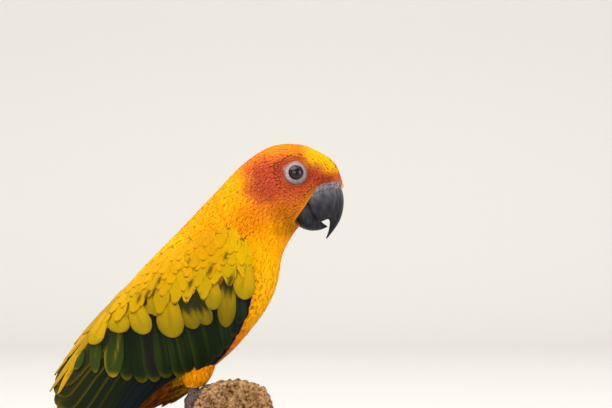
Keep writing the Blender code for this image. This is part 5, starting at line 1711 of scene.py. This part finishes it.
# floor, light and camera
# the camera is placed by the picture: its width and centre, and the branch's axis, in pixels
studio = {"distance": 1300.0, "pixelsPerMm": 2.35, "pictureWidth": 612.0, "centre": (306.0, 204.0),
          "origin": (236.0, 413.0), "sensor": 36.0}
# the floor, in metres
sweep = {"half": 4.5, "front": -4.0, "back": 3.6, "height": 3.6, "bend": 0.5}


def buildStudio():
    # floor that sweeps up into a wall behind
    half, back, bend = sweep["half"], sweep["back"], sweep["bend"]
    profile = [(sweep["front"], 0.0), (back - bend, 0.0)]
    for a in np.linspace(0, math.pi / 2, 16):
        profile.append((back - bend + bend * math.sin(a), bend - bend * math.cos(a)))
    profile.append((back, sweep["height"]))
    points = [(x, y, z) for y, z in profile for x in (-half, half)]
    faces = [(2 * i, 2 * i + 1, 2 * i + 3, 2 * i + 2) for i in range(len(profile) - 1)]
    mesh = bpy.data.meshes.new("studio_floor")
    mesh.from_pydata(points, [], faces)
    floor = bpy.data.objects.new("studio_floor", mesh)
    bpy.context.scene.collection.objects.link(floor)
    # matt paper sweep, pale warm grey
    mesh.materials.append(newMaterial("mattPaper", "CBC8C3", 0.9)[0])
    for polygon in mesh.polygons:
        polygon.use_smooth = True

    def softBox(name, place, aim, size, power):
        light = bpy.data.lights.new(name, "AREA")
        light.shape = "RECTANGLE"
        light.size, light.size_y = size
        light.energy = power
        lamp = bpy.data.objects.new(name, light)
        bpy.context.scene.collection.objects.link(lamp)
        lamp.location = place
        lamp.visible_camera = False
        lamp.rotation_euler = (Vector(aim) - Vector(place)).to_track_quat("-Z", "Y").to_euler()

    middle = (0.0, 0.0, 0.17)
    softBox("overhead", (-0.3, -0.25, 1.25), middle, (1.3, 1.1), 20.0)
    softBox("frontFill", (-0.25, -1.35, 0.6), middle, (1.1, 0.8), 10.0)
    softBox("faceSide", (1.25, -0.6, 0.5), middle, (0.8, 0.8), 9.0)
    softBox("backSide", (-1.1, 0.5, 0.75), middle, (0.9, 0.8), 8.0)
    softBox("wallWash", (0.0, 1.2, 2.6), (0.0, 3.4, 0.5), (3.0, 0.6), 90.0)
    world = bpy.data.worlds.new("studio")
    bpy.context.scene.world = world
    world.use_nodes = True
    world.node_tree.nodes["Background"].inputs[0].default_value = (1.0, 0.985, 0.96, 1)
    world.node_tree.nodes["Background"].inputs[1].default_value = 0.55

    camera = bpy.data.cameras.new("camera")
    eye = bpy.data.objects.new("camera", camera)
    bpy.context.scene.collection.objects.link(eye)
    scale, distance = studio["pixelsPerMm"], studio["distance"]
    x = birdShift[0] + (studio["centre"][0] - studio["origin"][0]) / scale
    z = birdShift[2] + (studio["origin"][1] - studio["centre"][1]) / scale
    camera.sensor_width = studio["sensor"]
    camera.lens = studio["sensor"] * distance / (studio["pictureWidth"] / scale)
    camera.clip_start = 0.01
    eye.location = (x * mm, -distance * mm, z * mm)
    eye.rotation_euler = (math.pi / 2, 0, 0)
    bpy.context.scene.camera = eye


buildStudio()
print("stage: studio")
